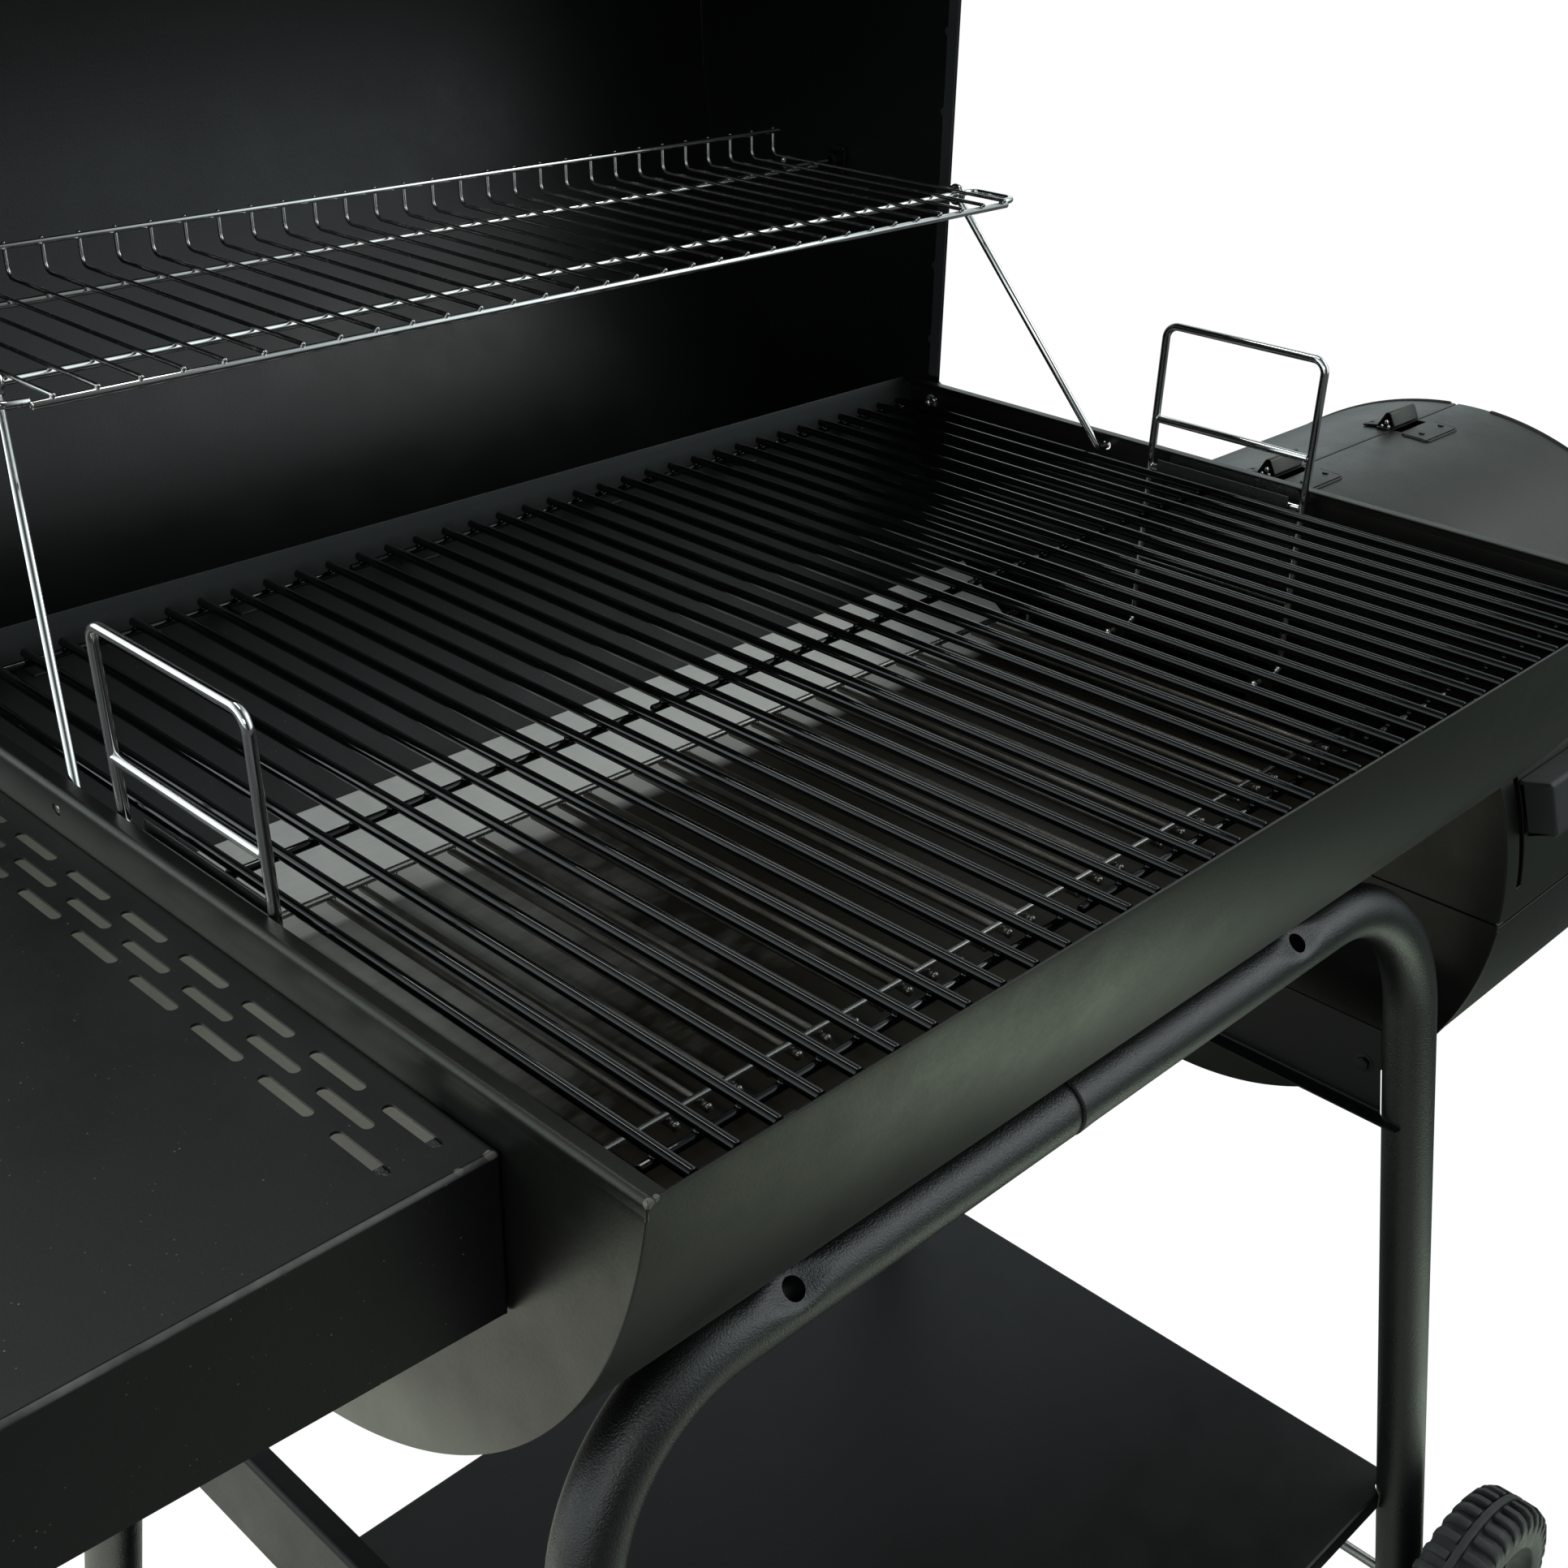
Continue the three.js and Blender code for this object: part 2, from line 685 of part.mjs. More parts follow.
// ---------------------------------------------------------------- warming rack and its arms
{
  const pieces = [];
  for (let k = 0; k < RACK_WIRES; k++) {
    const x = RACK_X0 + RACK_PITCH * k;
    pieces.push(
      prismX(
        [
          [393.4, RIM + 131],
          [579, RIM + 131],
          [582.5, RIM + 134.5],
          [582.5, RIM + 148.4],
          [580.4, RIM + 148.4],
          [580.4, RIM + 133.5],
          [393.4, RIM + 133.5],
        ],
        x - 1.05,
        x + 1.05,
      ),
    );
  }
  const z = ARM_HEAD.z;
  pieces.push(block(40.7, 634.5, 393.8, 397.2, z - 1.7, z + 1.7));
  pieces.push(block(47, 633.4, 543.9, 547.3, z - 1.7, z + 1.7));
  pieces.push(block(47.2, 633.2, 577.9, 581.3, RIM + 145.8, RIM + 149.1));
  pieces.push(
    wire(
      rounded(
        [
          V(43, 401, z),
          V(29, 403.5, z),
          V(29, ARM_HEAD.y, z),
          V(mirrorX(29), ARM_HEAD.y, z),
          V(mirrorX(29), 403.5, z),
          V(mirrorX(43), 401, z),
        ],
        9,
        3,
      ),
      1.8,
      6,
    ),
  );
  const lastX = RACK_X0 + RACK_PITCH * (RACK_WIRES - 1);
  for (const [x0, x1] of [
    [RACK_X0, 3],
    [lastX, mirrorX(3)],
  ])
    pieces.push(
      wire(
        rounded(
          [
            V(x0, RACK_PIVOT.y, RIM + 132.4),
            V(x0, RACK_PIVOT.y, RACK_PIVOT.z),
            V(x1, RACK_PIVOT.y, RACK_PIVOT.z),
          ],
          4,
          2,
        ),
        1.8,
        6,
      ),
    );
  mesh(rack, "warming_rack", join(pieces), MAT.chrome);

  for (const [side, flip] of [
    ["left", false],
    ["right", true],
  ]) {
    const bx = (x) => mirrored(flip, x);
    const foot = V(bx(9.6), ARM_FOOT.y, ARM_FOOT.z);
    const eye = V(bx(ARM_EYE_X), ARM_HEAD.y, ARM_HEAD.z);
    const d = eye.clone().sub(foot).normalize();
    const arm = wire(
      rounded(
        [V(bx(0.4), ARM_FOOT.y, ARM_FOOT.z), foot, eye.clone().addScaledVector(d, -ARM_EYE_R - 0.2)],
        3,
        3,
      ),
      ARM_R,
      6,
    );
    const ring = new THREE.TorusGeometry(ARM_EYE_R, ARM_R, 5, 12)
      .rotateY(Math.PI / 2)
      .translate(eye.x, eye.y, eye.z);
    mesh(rack, "rack_arm_" + side, join(arm, ring), MAT.chrome);
  }
}

// ---------------------------------------------------------------- lid, drawn closed
{
  const crown = (grow, a0, a1, n) =>
    arc(MID_Y, RIM + LID_SIDE, LID_W + grow, LID_CROWN + grow, a0, a1, n);
  const front = MID_Y - LID_W;
  const back = MID_Y + LID_W;
  const sheet = [
    [front, RIM - LID_LIP],
    ...crown(0, 180, 0, 26),
    [back, RIM + 10],
    [back - SHEET, RIM + 10],
    ...crown(-SHEET, 0, 180, 26),
    [front + SHEET, RIM - LID_LIP],
  ];
  const onCrown = (deg, out = 0) => {
    const t = deg * RAD;
    const n = V(0, Math.cos(t) / LID_W, Math.sin(t) / LID_CROWN).normalize();
    return {
      n,
      p: V(
        0,
        MID_Y + LID_W * Math.cos(t) + n.y * out,
        RIM + LID_SIDE + LID_CROWN * Math.sin(t) + n.z * out,
      ),
    };
  };
  const dial = onCrown(125);
  const dialAt = V(BARREL_L / 2, dial.p.y, dial.p.z);
  mesh(
    lid,
    "lid_shell",
    cut(
      prismX(sheet, -1.3, BARREL_L + 1.3),
      rod(V(CHIMNEY.x, CHIMNEY.y, RIM + 190), V(CHIMNEY.x, CHIMNEY.y, RIM + 230), CHIMNEY.r - 1.6, 24),
      rod(
        dialAt.clone().addScaledVector(dial.n, -12),
        dialAt.clone().addScaledVector(dial.n, 12),
        4.2,
        10,
      ),
    ),
    MAT.barrel,
  );
  for (const [side, flip] of [
    ["left", false],
    ["right", true],
  ]) {
    const [x0, x1] = span(flip, -3.1, -1.6);
    mesh(
      lid,
      "lid_end_" + side,
      cut(
        join(
          prismX(
            [
              [front, RIM - LID_LIP],
              ...crown(0, 180, 0, 26),
              [back, RIM + 10],
              [488.5, RIM - 6.5],
              [474, RIM - LID_LIP],
            ].reverse(),
            x0,
            x1,
          ),
          prismX(circle(HINGE.y, HINGE.z, HINGE_EAR, 20), x0, x1),
        ),
        prismX(circle(HINGE.y, HINGE.z, 4.4, 10), x0 - 2, x1 + 2),
      ),
      MAT.barrel,
    );
    // hanger that carries the rack's pivot, inside the lid's end
    const py = HINGE.y - (RACK_PIVOT.z - HINGE.z);
    const pz = HINGE.z + (RACK_PIVOT.y - HINGE.y);
    const [h0, h1] = span(flip, -1.3, 0.2);
    const [s0, s1] = span(flip, -1.3, 6.2);
    mesh(
      lid,
      "rack_hanger_" + side,
      cut(
        join(
          prismX(
            [
              [py - 9, pz - 8],
              [py + 9, pz - 8],
              [py + 9, pz + 4],
              [py + 5, pz + 8],
              [py - 5, pz + 8],
              [py - 9, pz + 4],
            ],
            h0,
            h1,
          ),
          prismX(circle(py, pz, 5.6, 14), s0, s1),
        ),
        prismX(circle(py, pz, 2.8, 12), s0 - 2, s1 + 2),
      ),
      MAT.barrel,
    );
  }
  // tubular lid handle on two feet
  const h0 = onCrown(152, 1.2);
  const h1 = onCrown(152, 46);
  const hx = [190, BARREL_L - 190];
  const footing = (x) =>
    lathe(
      [
        [0, 0],
        [0, 16],
        [2.4, 16],
        [4.5, 9],
        [4.5, 0],
      ],
      V(x, h0.p.y, h0.p.z),
      h0.n,
      10,
    );
  mesh(
    lid,
    "lid_handle",
    join(
      wire(
        rounded(
          [
            V(hx[0], h0.p.y, h0.p.z).addScaledVector(h0.n, 2),
            V(hx[0], h1.p.y, h1.p.z),
            V(hx[1], h1.p.y, h1.p.z),
            V(hx[1], h0.p.y, h0.p.z).addScaledVector(h0.n, 2),
          ],
          24,
          3,
        ),
        8,
        8,
      ),
      footing(hx[0]),
      footing(hx[1]),
    ),
    MAT.enamel,
  );
  // thermometer: a dial with a rim and a probe that goes through the lid
  mesh(
    lid,
    "thermometer",
    lathe(
      [
        [-68, 0],
        [-68, 2.6],
        [0.8, 2.6],
        [0.8, 13],
        [5.5, 30],
        [5.5, 39],
        [16.5, 39],
        [16.5, 36],
        [13.5, 35],
        [13.5, 0],
      ],
      dialAt,
      dial.n,
      16,
    ),
    MAT.dial,
  );
  // chimney with a flat foot ring, and a swivelling cap on a side pin
  const top = RIM + LID_SIDE + LID_CROWN;
  const stackAt = V(CHIMNEY.x, CHIMNEY.y, top);
  mesh(
    lid,
    "chimney",
    join(
      lathe(
        closed([
          [0.5, CHIMNEY.r - 1.4],
          [0.5, CHIMNEY.r + 14],
          [2.2, CHIMNEY.r + 14],
          [4.2, CHIMNEY.r],
          [CHIMNEY.h, CHIMNEY.r],
          [CHIMNEY.h, CHIMNEY.r - 1.4],
        ]),
        stackAt,
        AZ,
        18,
      ),
      rod(
        V(CHIMNEY.x + CHIMNEY.r + 3.6, CHIMNEY.y, top + CHIMNEY.h - 22),
        V(CHIMNEY.x + CHIMNEY.r + 3.6, CHIMNEY.y, top + CHIMNEY.h - 0.2),
        4.4,
        10,
      ),
      rod(
        V(CHIMNEY.x + CHIMNEY.r + 3.6, CHIMNEY.y, top + CHIMNEY.h - 1),
        V(CHIMNEY.x + CHIMNEY.r + 3.6, CHIMNEY.y, top + CHIMNEY.h + 7),
        2,
        8,
      ),
    ),
    MAT.barrel,
  );
  const capAt = [CHIMNEY.x + CHIMNEY.r + 3.6, CHIMNEY.y];
  mesh(
    lid,
    "chimney_cap",
    cut(
      join(
        lathe(
          [
            [0.5, 0],
            [0.5, CHIMNEY.r + 2],
            [2.2, CHIMNEY.r + 2],
            [5, CHIMNEY.r - 6],
            [5, 0],
          ],
          V(CHIMNEY.x, CHIMNEY.y, top + CHIMNEY.h),
          AZ,
          18,
        ),
        prismZ(circle(capAt[0], capAt[1], 7, 14), top + CHIMNEY.h + 0.5, top + CHIMNEY.h + 3),
        rod(
          V(CHIMNEY.x - CHIMNEY.r + 12, CHIMNEY.y, top + CHIMNEY.h + 4),
          V(CHIMNEY.x - CHIMNEY.r - 18, CHIMNEY.y, top + CHIMNEY.h + 5),
          2.2,
          8,
        ),
      ),
      rod(V(...capAt, top + CHIMNEY.h - 2), V(...capAt, top + CHIMNEY.h + 12), 2.6, 10),
    ),
    MAT.barrel,
  );
}

// ---------------------------------------------------------------- legs, braces, shelf, wheels
const legPath = (flip, backside, zEnd) => {
  const y = backside ? BARREL_W - LEG_Y : LEG_Y;
  const s = backside ? 1 : -1;
  const corner = V(mirrored(flip, LEG_CORNER_X[flip ? 1 : 0]), y, LEG_Z);
  const drop = LEG_Z - zEnd;
  const end = V(
    corner.x + (flip ? 1 : -1) * LEG_SLOPE_X * drop,
    y + s * LEG_SLOPE_Y * drop,
    zEnd,
  );
  const start = V(LEG_JOINT_X + (flip ? GAP : -GAP), y, LEG_Z);
  return rounded([start, corner, end], LEG_BEND[flip ? 1 : 0], 6);
};
{
  const fat = [];
  for (const [fb, backside] of [
    ["front", false],
    ["back", true],
  ])
    for (const [side, flip] of [
      ["left", false],
      ["right", true],
    ]) {
      const path = legPath(flip, backside, flip ? LEG_RIGHT_END : 3.4);
      const y = backside ? BARREL_W - LEG_Y : LEG_Y;
      const tube = wire(path, LEG_R, 10, LEG_R - LEG_WALL);
      fat.push(wire(legPath(flip, backside, 0), LEG_R + 0.7, 12));
      const bx = LEG_BOLT_X[flip ? 1 : 0];
      const s = backside ? 1 : -1;
      const hole = rod(
        V(bx, y, LEG_Z),
        V(bx, y + s * 22 * Math.sin(40 * RAD), LEG_Z + 22 * Math.cos(40 * RAD)),
        5.3,
        8,
      );
      const tools = [hole];
      if (flip)
        tools.push(
          rod(V(AXLE.x, y - 130, AXLE.z), V(AXLE.x, y + 130, AXLE.z), AXLE.r + 0.6, 8),
        );
      let leg = cut(tube, tools);
      if (!flip)
        leg = join(
          leg,
          lathe(
            closed([
              [0, LEG_R - 3.6],
              [0, LEG_R - 0.9],
              [14, LEG_R - 0.9],
              [16.5, LEG_R - 2.4],
              [40, LEG_R - 2.4],
              [40, LEG_R - 3.6],
            ]),
            V(LEG_JOINT_X - 16, y, LEG_Z),
            AX,
            10,
          ),
        );
      mesh(stand, "leg_" + fb + "_" + side, leg, MAT.leg);
      if (!flip) {
        const foot = legPath(flip, backside, 0);
        const end = foot[foot.length - 1];
        const dir = foot[foot.length - 2].clone().sub(end).normalize();
        const cup = lathe(
          [
            [-12, 0],
            [-12, LEG_R + 2.4],
            [34, LEG_R + 2.4],
            [34, LEG_R + 0.9],
            [3, LEG_R + 0.9],
            [3, 0],
          ],
          end,
          dir,
          12,
        );
        mesh(
          stand,
          "foot_" + fb + "_" + side,
          cut(
            keep(cup, block(end.x - 60, end.x + 60, end.y - 60, end.y + 60, 0, 80)),
            wire(legPath(flip, backside, 3), LEG_R + 0.9, 12),
          ),
          MAT.wheel,
        );
      }
    }

  const braceL = join(
    block(19.8, 21.2, 60, 440, RIM - 396, RIM - 339.35),
    block(19.8, 31.9, 60, 440, RIM - 340.75, RIM - 339.35),
  );
  mesh(stand, "brace_left", cut(braceL, fat[0], fat[2]), MAT.leg);
  const braceR = join(
    block(643.2, 644.6, 60, 440, RIM - 347.6, RIM - 292),
    block(632.6, 644.6, 60, 440, RIM - 347.6, RIM - 346.2),
  );
  mesh(stand, "brace_right", cut(braceR, fat[1], fat[3]), MAT.leg);

  const shelf = cut(
    block(-1.1, 680.9, 34.1, 467.5, SHELF_Z - 15.4, SHELF_Z),
    block(0.1, 679.7, 35.3, 466.3, SHELF_Z - 20, SHELF_Z - 1.2),
  );
  mesh(stand, "bottom_shelf", cut(shelf, fat), MAT.leg);

  mesh(
    stand,
    "axle",
    rod(V(AXLE.x, -52, AXLE.z), V(AXLE.x, 552, AXLE.z), AXLE.r, 12),
    MAT.zinc,
  );
  const hw = WHEEL_W / 2;
  const half = [
    [13, WHEEL_R],
    [hw, WHEEL_R - 9],
    [hw, WHEEL_R - 25],
    [10, WHEEL_R - 32],
    [8, 24],
    [hw, 17],
    [hw, 4.3],
  ];
  const wheel = closed([
    ...half,
    ...half.map(([a, r]) => [-a, r]).reverse(),
  ]);
  ["front", "back"].forEach((fb, i) => {
    const s = i ? 1 : -1;
    mesh(
      stand,
      "wheel_" + fb,
      lathe(wheel, V(AXLE.x, WHEEL_Y[i], AXLE.z), AY, 24),
      MAT.wheel,
    );
    mesh(
      stand,
      "hub_cap_" + fb,
      lathe(
        [
          [0, AXLE.r + 0.4],
          [0, 12],
          [4, 12],
          [7.5, 8],
          [9, 0],
          [6.2, 0],
          [6.2, AXLE.r + 0.4],
          [0, AXLE.r + 0.4],
        ],
        V(AXLE.x, WHEEL_Y[i] + s * (hw + 0.5), AXLE.z),
        V(0, s, 0),
        14,
      ),
      MAT.zinc,
    );
  });

  // side table: a pressed sheet with three staggered rows of slots at the barrel end
  const slot = (x, y) => [
    [x - 2.2, y - 14],
    [x + 2.2, y - 14],
    [x + 2.2, y + 14],
    [x - 2.2, y + 14],
  ];
  const slots = [];
  for (let k = 0; k < 9; k++) {
    slots.push(slot(-12.1, 94.6 + 40.15 * k), slot(-31.4, 94.6 + 40.15 * k));
    if (k < 8) slots.push(slot(-21.7, 116.6 + 40.15 * k));
  }
  const side = [
    [TABLE_X[0], TABLE_Z],
    [TABLE_X[0], TABLE_Z - 45],
    [TABLE_X[1], TABLE_Z - 64],
    [TABLE_X[1], TABLE_Z],
  ];
  mesh(
    barrel,
    "side_table",
    join(
      cut(
        block(...TABLE_X, ...TABLE_Y, TABLE_Z - SHEET, TABLE_Z),
        slots.map((s) => prismZ(s, TABLE_Z - 4, TABLE_Z + 2)),
      ),
      prismY(side, TABLE_Y[0], TABLE_Y[0] + SHEET),
      prismY(side, TABLE_Y[1] - SHEET, TABLE_Y[1]),
      block(TABLE_X[0], TABLE_X[0] + SHEET, TABLE_Y[0], TABLE_Y[1], TABLE_Z - 45, TABLE_Z),
    ),
    MAT.leg,
  );
  for (const [fb, y] of [
    ["front", 78],
    ["back", 422],
  ]) {
    const web = prismY(
      [
        [-0.4, TABLE_Z - 1.6],
        [-265, TABLE_Z - 1.6],
        [-265, TABLE_Z - 9],
        [-0.4, TABLE_Z - 58],
      ],
      y - 1,
      y + 1,
    );
    mesh(
      barrel,
      "table_bracket_" + fb,
      join(
        web,
        block(-265, -0.4, y - 9, y + 9, TABLE_Z - 3.2, TABLE_Z - 1.6),
        block(-2, -0.4, y - 9, y + 9, TABLE_Z - 58, TABLE_Z - 1.6),
      ),
      MAT.leg,
    );
  }
}

export default smoker;
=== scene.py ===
# Looks of the offset smoker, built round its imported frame.
import math
import random

import bmesh
import bpy
from mathutils import Matrix, Quaternion, Vector, geometry

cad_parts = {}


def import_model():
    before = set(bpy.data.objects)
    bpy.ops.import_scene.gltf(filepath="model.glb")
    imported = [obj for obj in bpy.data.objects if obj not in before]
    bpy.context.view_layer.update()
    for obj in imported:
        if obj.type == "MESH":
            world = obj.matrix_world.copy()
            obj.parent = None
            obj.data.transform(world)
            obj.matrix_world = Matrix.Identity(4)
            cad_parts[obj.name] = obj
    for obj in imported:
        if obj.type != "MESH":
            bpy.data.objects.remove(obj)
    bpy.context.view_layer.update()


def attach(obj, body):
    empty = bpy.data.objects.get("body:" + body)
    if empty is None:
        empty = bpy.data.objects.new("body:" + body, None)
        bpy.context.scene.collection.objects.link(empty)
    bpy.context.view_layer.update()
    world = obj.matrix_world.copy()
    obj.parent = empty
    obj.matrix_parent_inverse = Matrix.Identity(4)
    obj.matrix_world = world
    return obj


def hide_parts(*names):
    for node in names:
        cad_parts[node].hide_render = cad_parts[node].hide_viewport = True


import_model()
rng = random.Random(11)

# ------------------------------------------------------------------ dimensions (mm)
OX, OY = -302.0, -401.65
RIM = 806.85
L, W = 679.5, 500.0
BZ, BA, BB = RIM + 24.5, 251.28, 243.5  # the barrel section is the part of this ellipse under the rim
MID = W / 2
HY, HZ = 479.05, RIM - 13.75
LIDW, LIDS, LIDC, LIP = 252.8, 49.5, 159.5, 15.4
FX0, FX1 = 697.0, 972.0
FY, FZ, FR = 250.0, RIM - 222.0, 198.0
FHY, FHZ = 266.0, RIM - 20.4
AFY, AFZ = 340.45, RIM - 9.35
AHY, AHZ = 433.4, RIM + 129.8
RPY, RPZ = 572.0, RIM + 125.4
TZ = RIM - 18.7
LEG_R, LEG_Y, LEG_Z = 15.0, 84.5, RIM - 178.2
AXX, AXZ = 679.0, 88.55


# ------------------------------------------------------------------ mesh helpers
class Geo:
    def __init__(self):
        self.v, self.f, self.m = [], [], []

    def add(self, vf, mat=0):
        v, f = vf
        o = len(self.v)
        self.v += [tuple(p) for p in v]
        self.f += [tuple(i + o for i in t) for t in f]
        self.m += [mat] * len(f)
        return self


def to_m(p):
    return ((p[0] + OX) / 1000, (p[1] + OY) / 1000, p[2] / 1000)


def lid_open(p):
    return (p[0], HY + (p[2] - HZ), HZ - (p[1] - HY))


def piece(
    name, geo, mats, body, nodes=(), lid=False, angle=42, weighted=False
):
    me = bpy.data.meshes.new(name)
    me.from_pydata([to_m(lid_open(p) if lid else p) for p in geo.v], [], geo.f)
    mats = mats if isinstance(mats, (list, tuple)) else [mats]
    for m in mats:
        me.materials.append(m)
    me.polygons.foreach_set("material_index", geo.m)
    bm = bmesh.new()
    bm.from_mesh(me)
    bmesh.ops.recalc_face_normals(bm, faces=bm.faces)
    bm.to_mesh(me)
    bm.free()
    me.shade_smooth()
    me.set_sharp_from_angle(angle=math.radians(angle))
    o = bpy.data.objects.new(name, me)
    bpy.context.scene.collection.objects.link(o)
    if weighted:
        mod = o.modifiers.new("weighted", "WEIGHTED_NORMAL")
        mod.keep_sharp = True
        mod.weight = 80
    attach(o, body)
    if nodes:
        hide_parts(*([nodes] if isinstance(nodes, str) else nodes))
    return o


def V(*a):
    return Vector(a)


def arc(ca, cb, ra, rb, a0, a1, n):
    return [
        (
            ca + ra * math.cos(math.radians(a0 + (a1 - a0) * i / n)),
            cb + rb * math.sin(math.radians(a0 + (a1 - a0) * i / n)),
        )
        for i in range(n + 1)
    ]


def circle(ca, cb, r, n=24):
    return arc(ca, cb, r, r, 0, 360 - 360 / n, n - 1)


def bent(points, radius, n=8):
    """Corner points with the inner corners rounded."""
    p = [Vector(q) for q in points]
    out = [p[0]]
    for i in range(1, len(p) - 1):
        b = p[i]
        u = (p[i - 1] - b).normalized()
        v = (p[i + 1] - b).normalized()
        r = radius[i - 1] if isinstance(radius, (list, tuple)) else radius
        turn = math.pi - u.angle(v)
        if turn < 1e-3 or r <= 0:
            out.append(b)
            continue
        c = b + (u + v).normalized() * (r / math.cos(turn / 2))
        s = b + u * (r * math.tan(turn / 2)) - c
        e = b + v * (r * math.tan(turn / 2)) - c
        axis = s.cross(e).normalized() if len(s) == 3 else None
        for k in range(n + 1):
            if axis is not None:
                out.append(Quaternion(axis, turn * k / n) @ s + c)
            else:
                a0 = math.atan2(s.y, s.x)
                a1 = math.atan2(e.y, e.x)
                da = (a1 - a0 + math.pi) % (2 * math.pi) - math.pi
                a = a0 + da * k / n
                out.append(Vector((c.x + r * math.cos(a), c.y + r * math.sin(a))))
    out.append(p[-1])
    return out


def tangents(p):
    t = []
    for i in range(len(p)):
        d = Vector((0, 0, 0))
        if i > 0:
            d += (p[i] - p[i - 1]).normalized()
        if i < len(p) - 1:
            d += (p[i + 1] - p[i]).normalized()
        t.append(d.normalized())
    return t


def tube(points, r, n=14, ends=("flat", "flat"), bev=None, radii=None):
    """A round bar along points; an end is flat with a small chamfer, or a dome."""
    p = [Vector(q) for q in points]
    t = tangents(p)
    first = Vector((0, 0, 1)) if abs(t[0].z) < 0.8 else Vector((0, 1, 0))
    nrm = first.cross(t[0]).normalized()
    rings = []
    for i, (q, d) in enumerate(zip(p, t)):
        if i:
            nrm = t[i - 1].rotation_difference(d) @ nrm
            nrm = (nrm - d * nrm.dot(d)).normalized()
        rings.append((q, nrm.copy(), d.cross(nrm), radii[i] if radii else r))

    def end(ring, d, kind):
        q, a, b, rad = ring
        e = bev if bev is not None else rad * 0.22
        if kind == "flat":
            return [(q, a, b, rad - e), (q + d * (e * 0.35), a, b, rad - e * 0.35), (q + d * e, a, b, rad)]
        if kind == "open":
            return [ring]
        out = []
        for k in range(1, 5):
            s = math.radians(90 * k / 4)
            out.append((q + d * (rad * (1 - math.cos(s)) * 0.8), a, b, rad * math.sin(s)))
        return out

    head = end(rings[0], t[0], ends[0])
    tail = end(rings[-1], -t[-1], ends[1])[::-1]
    rings = head + rings[1:-1] + tail
    verts, faces = [], []
    for q, a, b, rad in rings:
        for k in range(n):
            s = 2 * math.pi * k / n
            verts.append(q + a * (rad * math.cos(s)) + b * (rad * math.sin(s)))
    for i in range(len(rings) - 1):
        for k in range(n):
            faces.append((i * n + k, i * n + (k + 1) % n, (i + 1) * n + (k + 1) % n, (i + 1) * n + k))
    faces.append(tuple(range(n))[::-1])
    faces.append(tuple(range((len(rings) - 1) * n, len(rings) * n)))
    return verts, faces


def line(p, q, k=1):
    p, q = Vector(p), Vector(q)
    return [p.lerp(q, i / k) for i in range(k + 1)]


def blob(c, r, n=10, m=6):
    """A rounded lump; r is one radius, or three."""
    rx, ry, rz = (r, r, r) if isinstance(r, (int, float)) else r
    c = Vector(c)
    verts = [c + Vector((0, 0, rz))]
    for i in range(1, m):
        a = math.pi * i / m
        for k in range(n):
            s = 2 * math.pi * k / n
            verts.append(c + Vector((rx * math.sin(a) * math.cos(s), ry * math.sin(a) * math.sin(s), rz * math.cos(a))))
    verts.append(c - Vector((0, 0, rz)))
    faces = [(0, 1 + k, 1 + (k + 1) % n) for k in range(n)]
    for i in range(m - 2):
        for k in range(n):
            a, b = 1 + i * n + k, 1 + i * n + (k + 1) % n
            faces.append((a, a + n, b + n, b))
    e = len(verts) - 1
    faces += [(e, 1 + (m - 2) * n + (k + 1) % n, 1 + (m - 2) * n + k) for k in range(n)]
    return verts, faces


def lathe(profile, at, along, n=48):
    """Profile of (height, radius) turned round a line; radius 0 closes it."""
    at, along = Vector(at), Vector(along).normalized()
    a = (Vector((0, 0, 1)) if abs(along.z) < 0.8 else Vector((1, 0, 0))).cross(along).normalized()
    b = along.cross(a)
    verts, rows = [], []
    for h, r in profile:
        c = at + along * h
        if r < 1e-6:
            rows.append([len(verts)])
            verts.append(c)
        else:
            rows.append(list(range(len(verts), len(verts) + n)))
            verts += [c + a * (r * math.cos(2 * math.pi * k / n)) + b * (r * math.sin(2 * math.pi * k / n)) for k in range(n)]
    faces = []
    for p, q in zip(rows, rows[1:]):
        for k in range(n):
            k2 = (k + 1) % n
            if len(p) == 1 and len(q) == 1:
                continue
            if len(p) == 1:
                faces.append((p[0], q[k2], q[k]))
            elif len(q) == 1:
                faces.append((p[k], p[k2], q[0]))
            else:
                faces.append((p[k], p[k2], q[k2], q[k]))
    return verts, faces


def ring_lathe(profile, at, along, n=48):
    """A profile that closes on itself, turned round a line."""
    v, f = lathe(profile + [profile[0]], at, along, n)
    m = len(profile) * n
    return v[:m], [tuple(i % m if i >= m else i for i in t) for t in f]


def area2(loop):
    return sum(a[0] * b[1] - b[0] * a[1] for a, b in zip(loop, loop[1:] + loop[:1])) / 2


def inset(loop, d):
    out = []
    n = len(loop)
    for i in range(n):
        a, b, c = Vector(loop[i - 1]), Vector(loop[i]), Vector(loop[(i + 1) % n])
        e1, e2 = (b - a).normalized(), (c - b).normalized()
        n1, n2 = Vector((-e1.y, e1.x)), Vector((-e2.y, e2.x))
        m = n1 + n2
        if m.length < 1e-6:
            m = n1
        m.normalize()
        out.append(tuple(b + m * (d / max(m.dot(n1), 0.4))))
    return out


def clean(loop, tiny=1e-3):
    out = []
    for p in [tuple(q)[:2] for q in loop]:
        if not out or (Vector(p) - Vector(out[-1])).length > tiny:
            out.append(p)
    if (Vector(out[0]) - Vector(out[-1])).length <= tiny:
        out.pop()
    return out


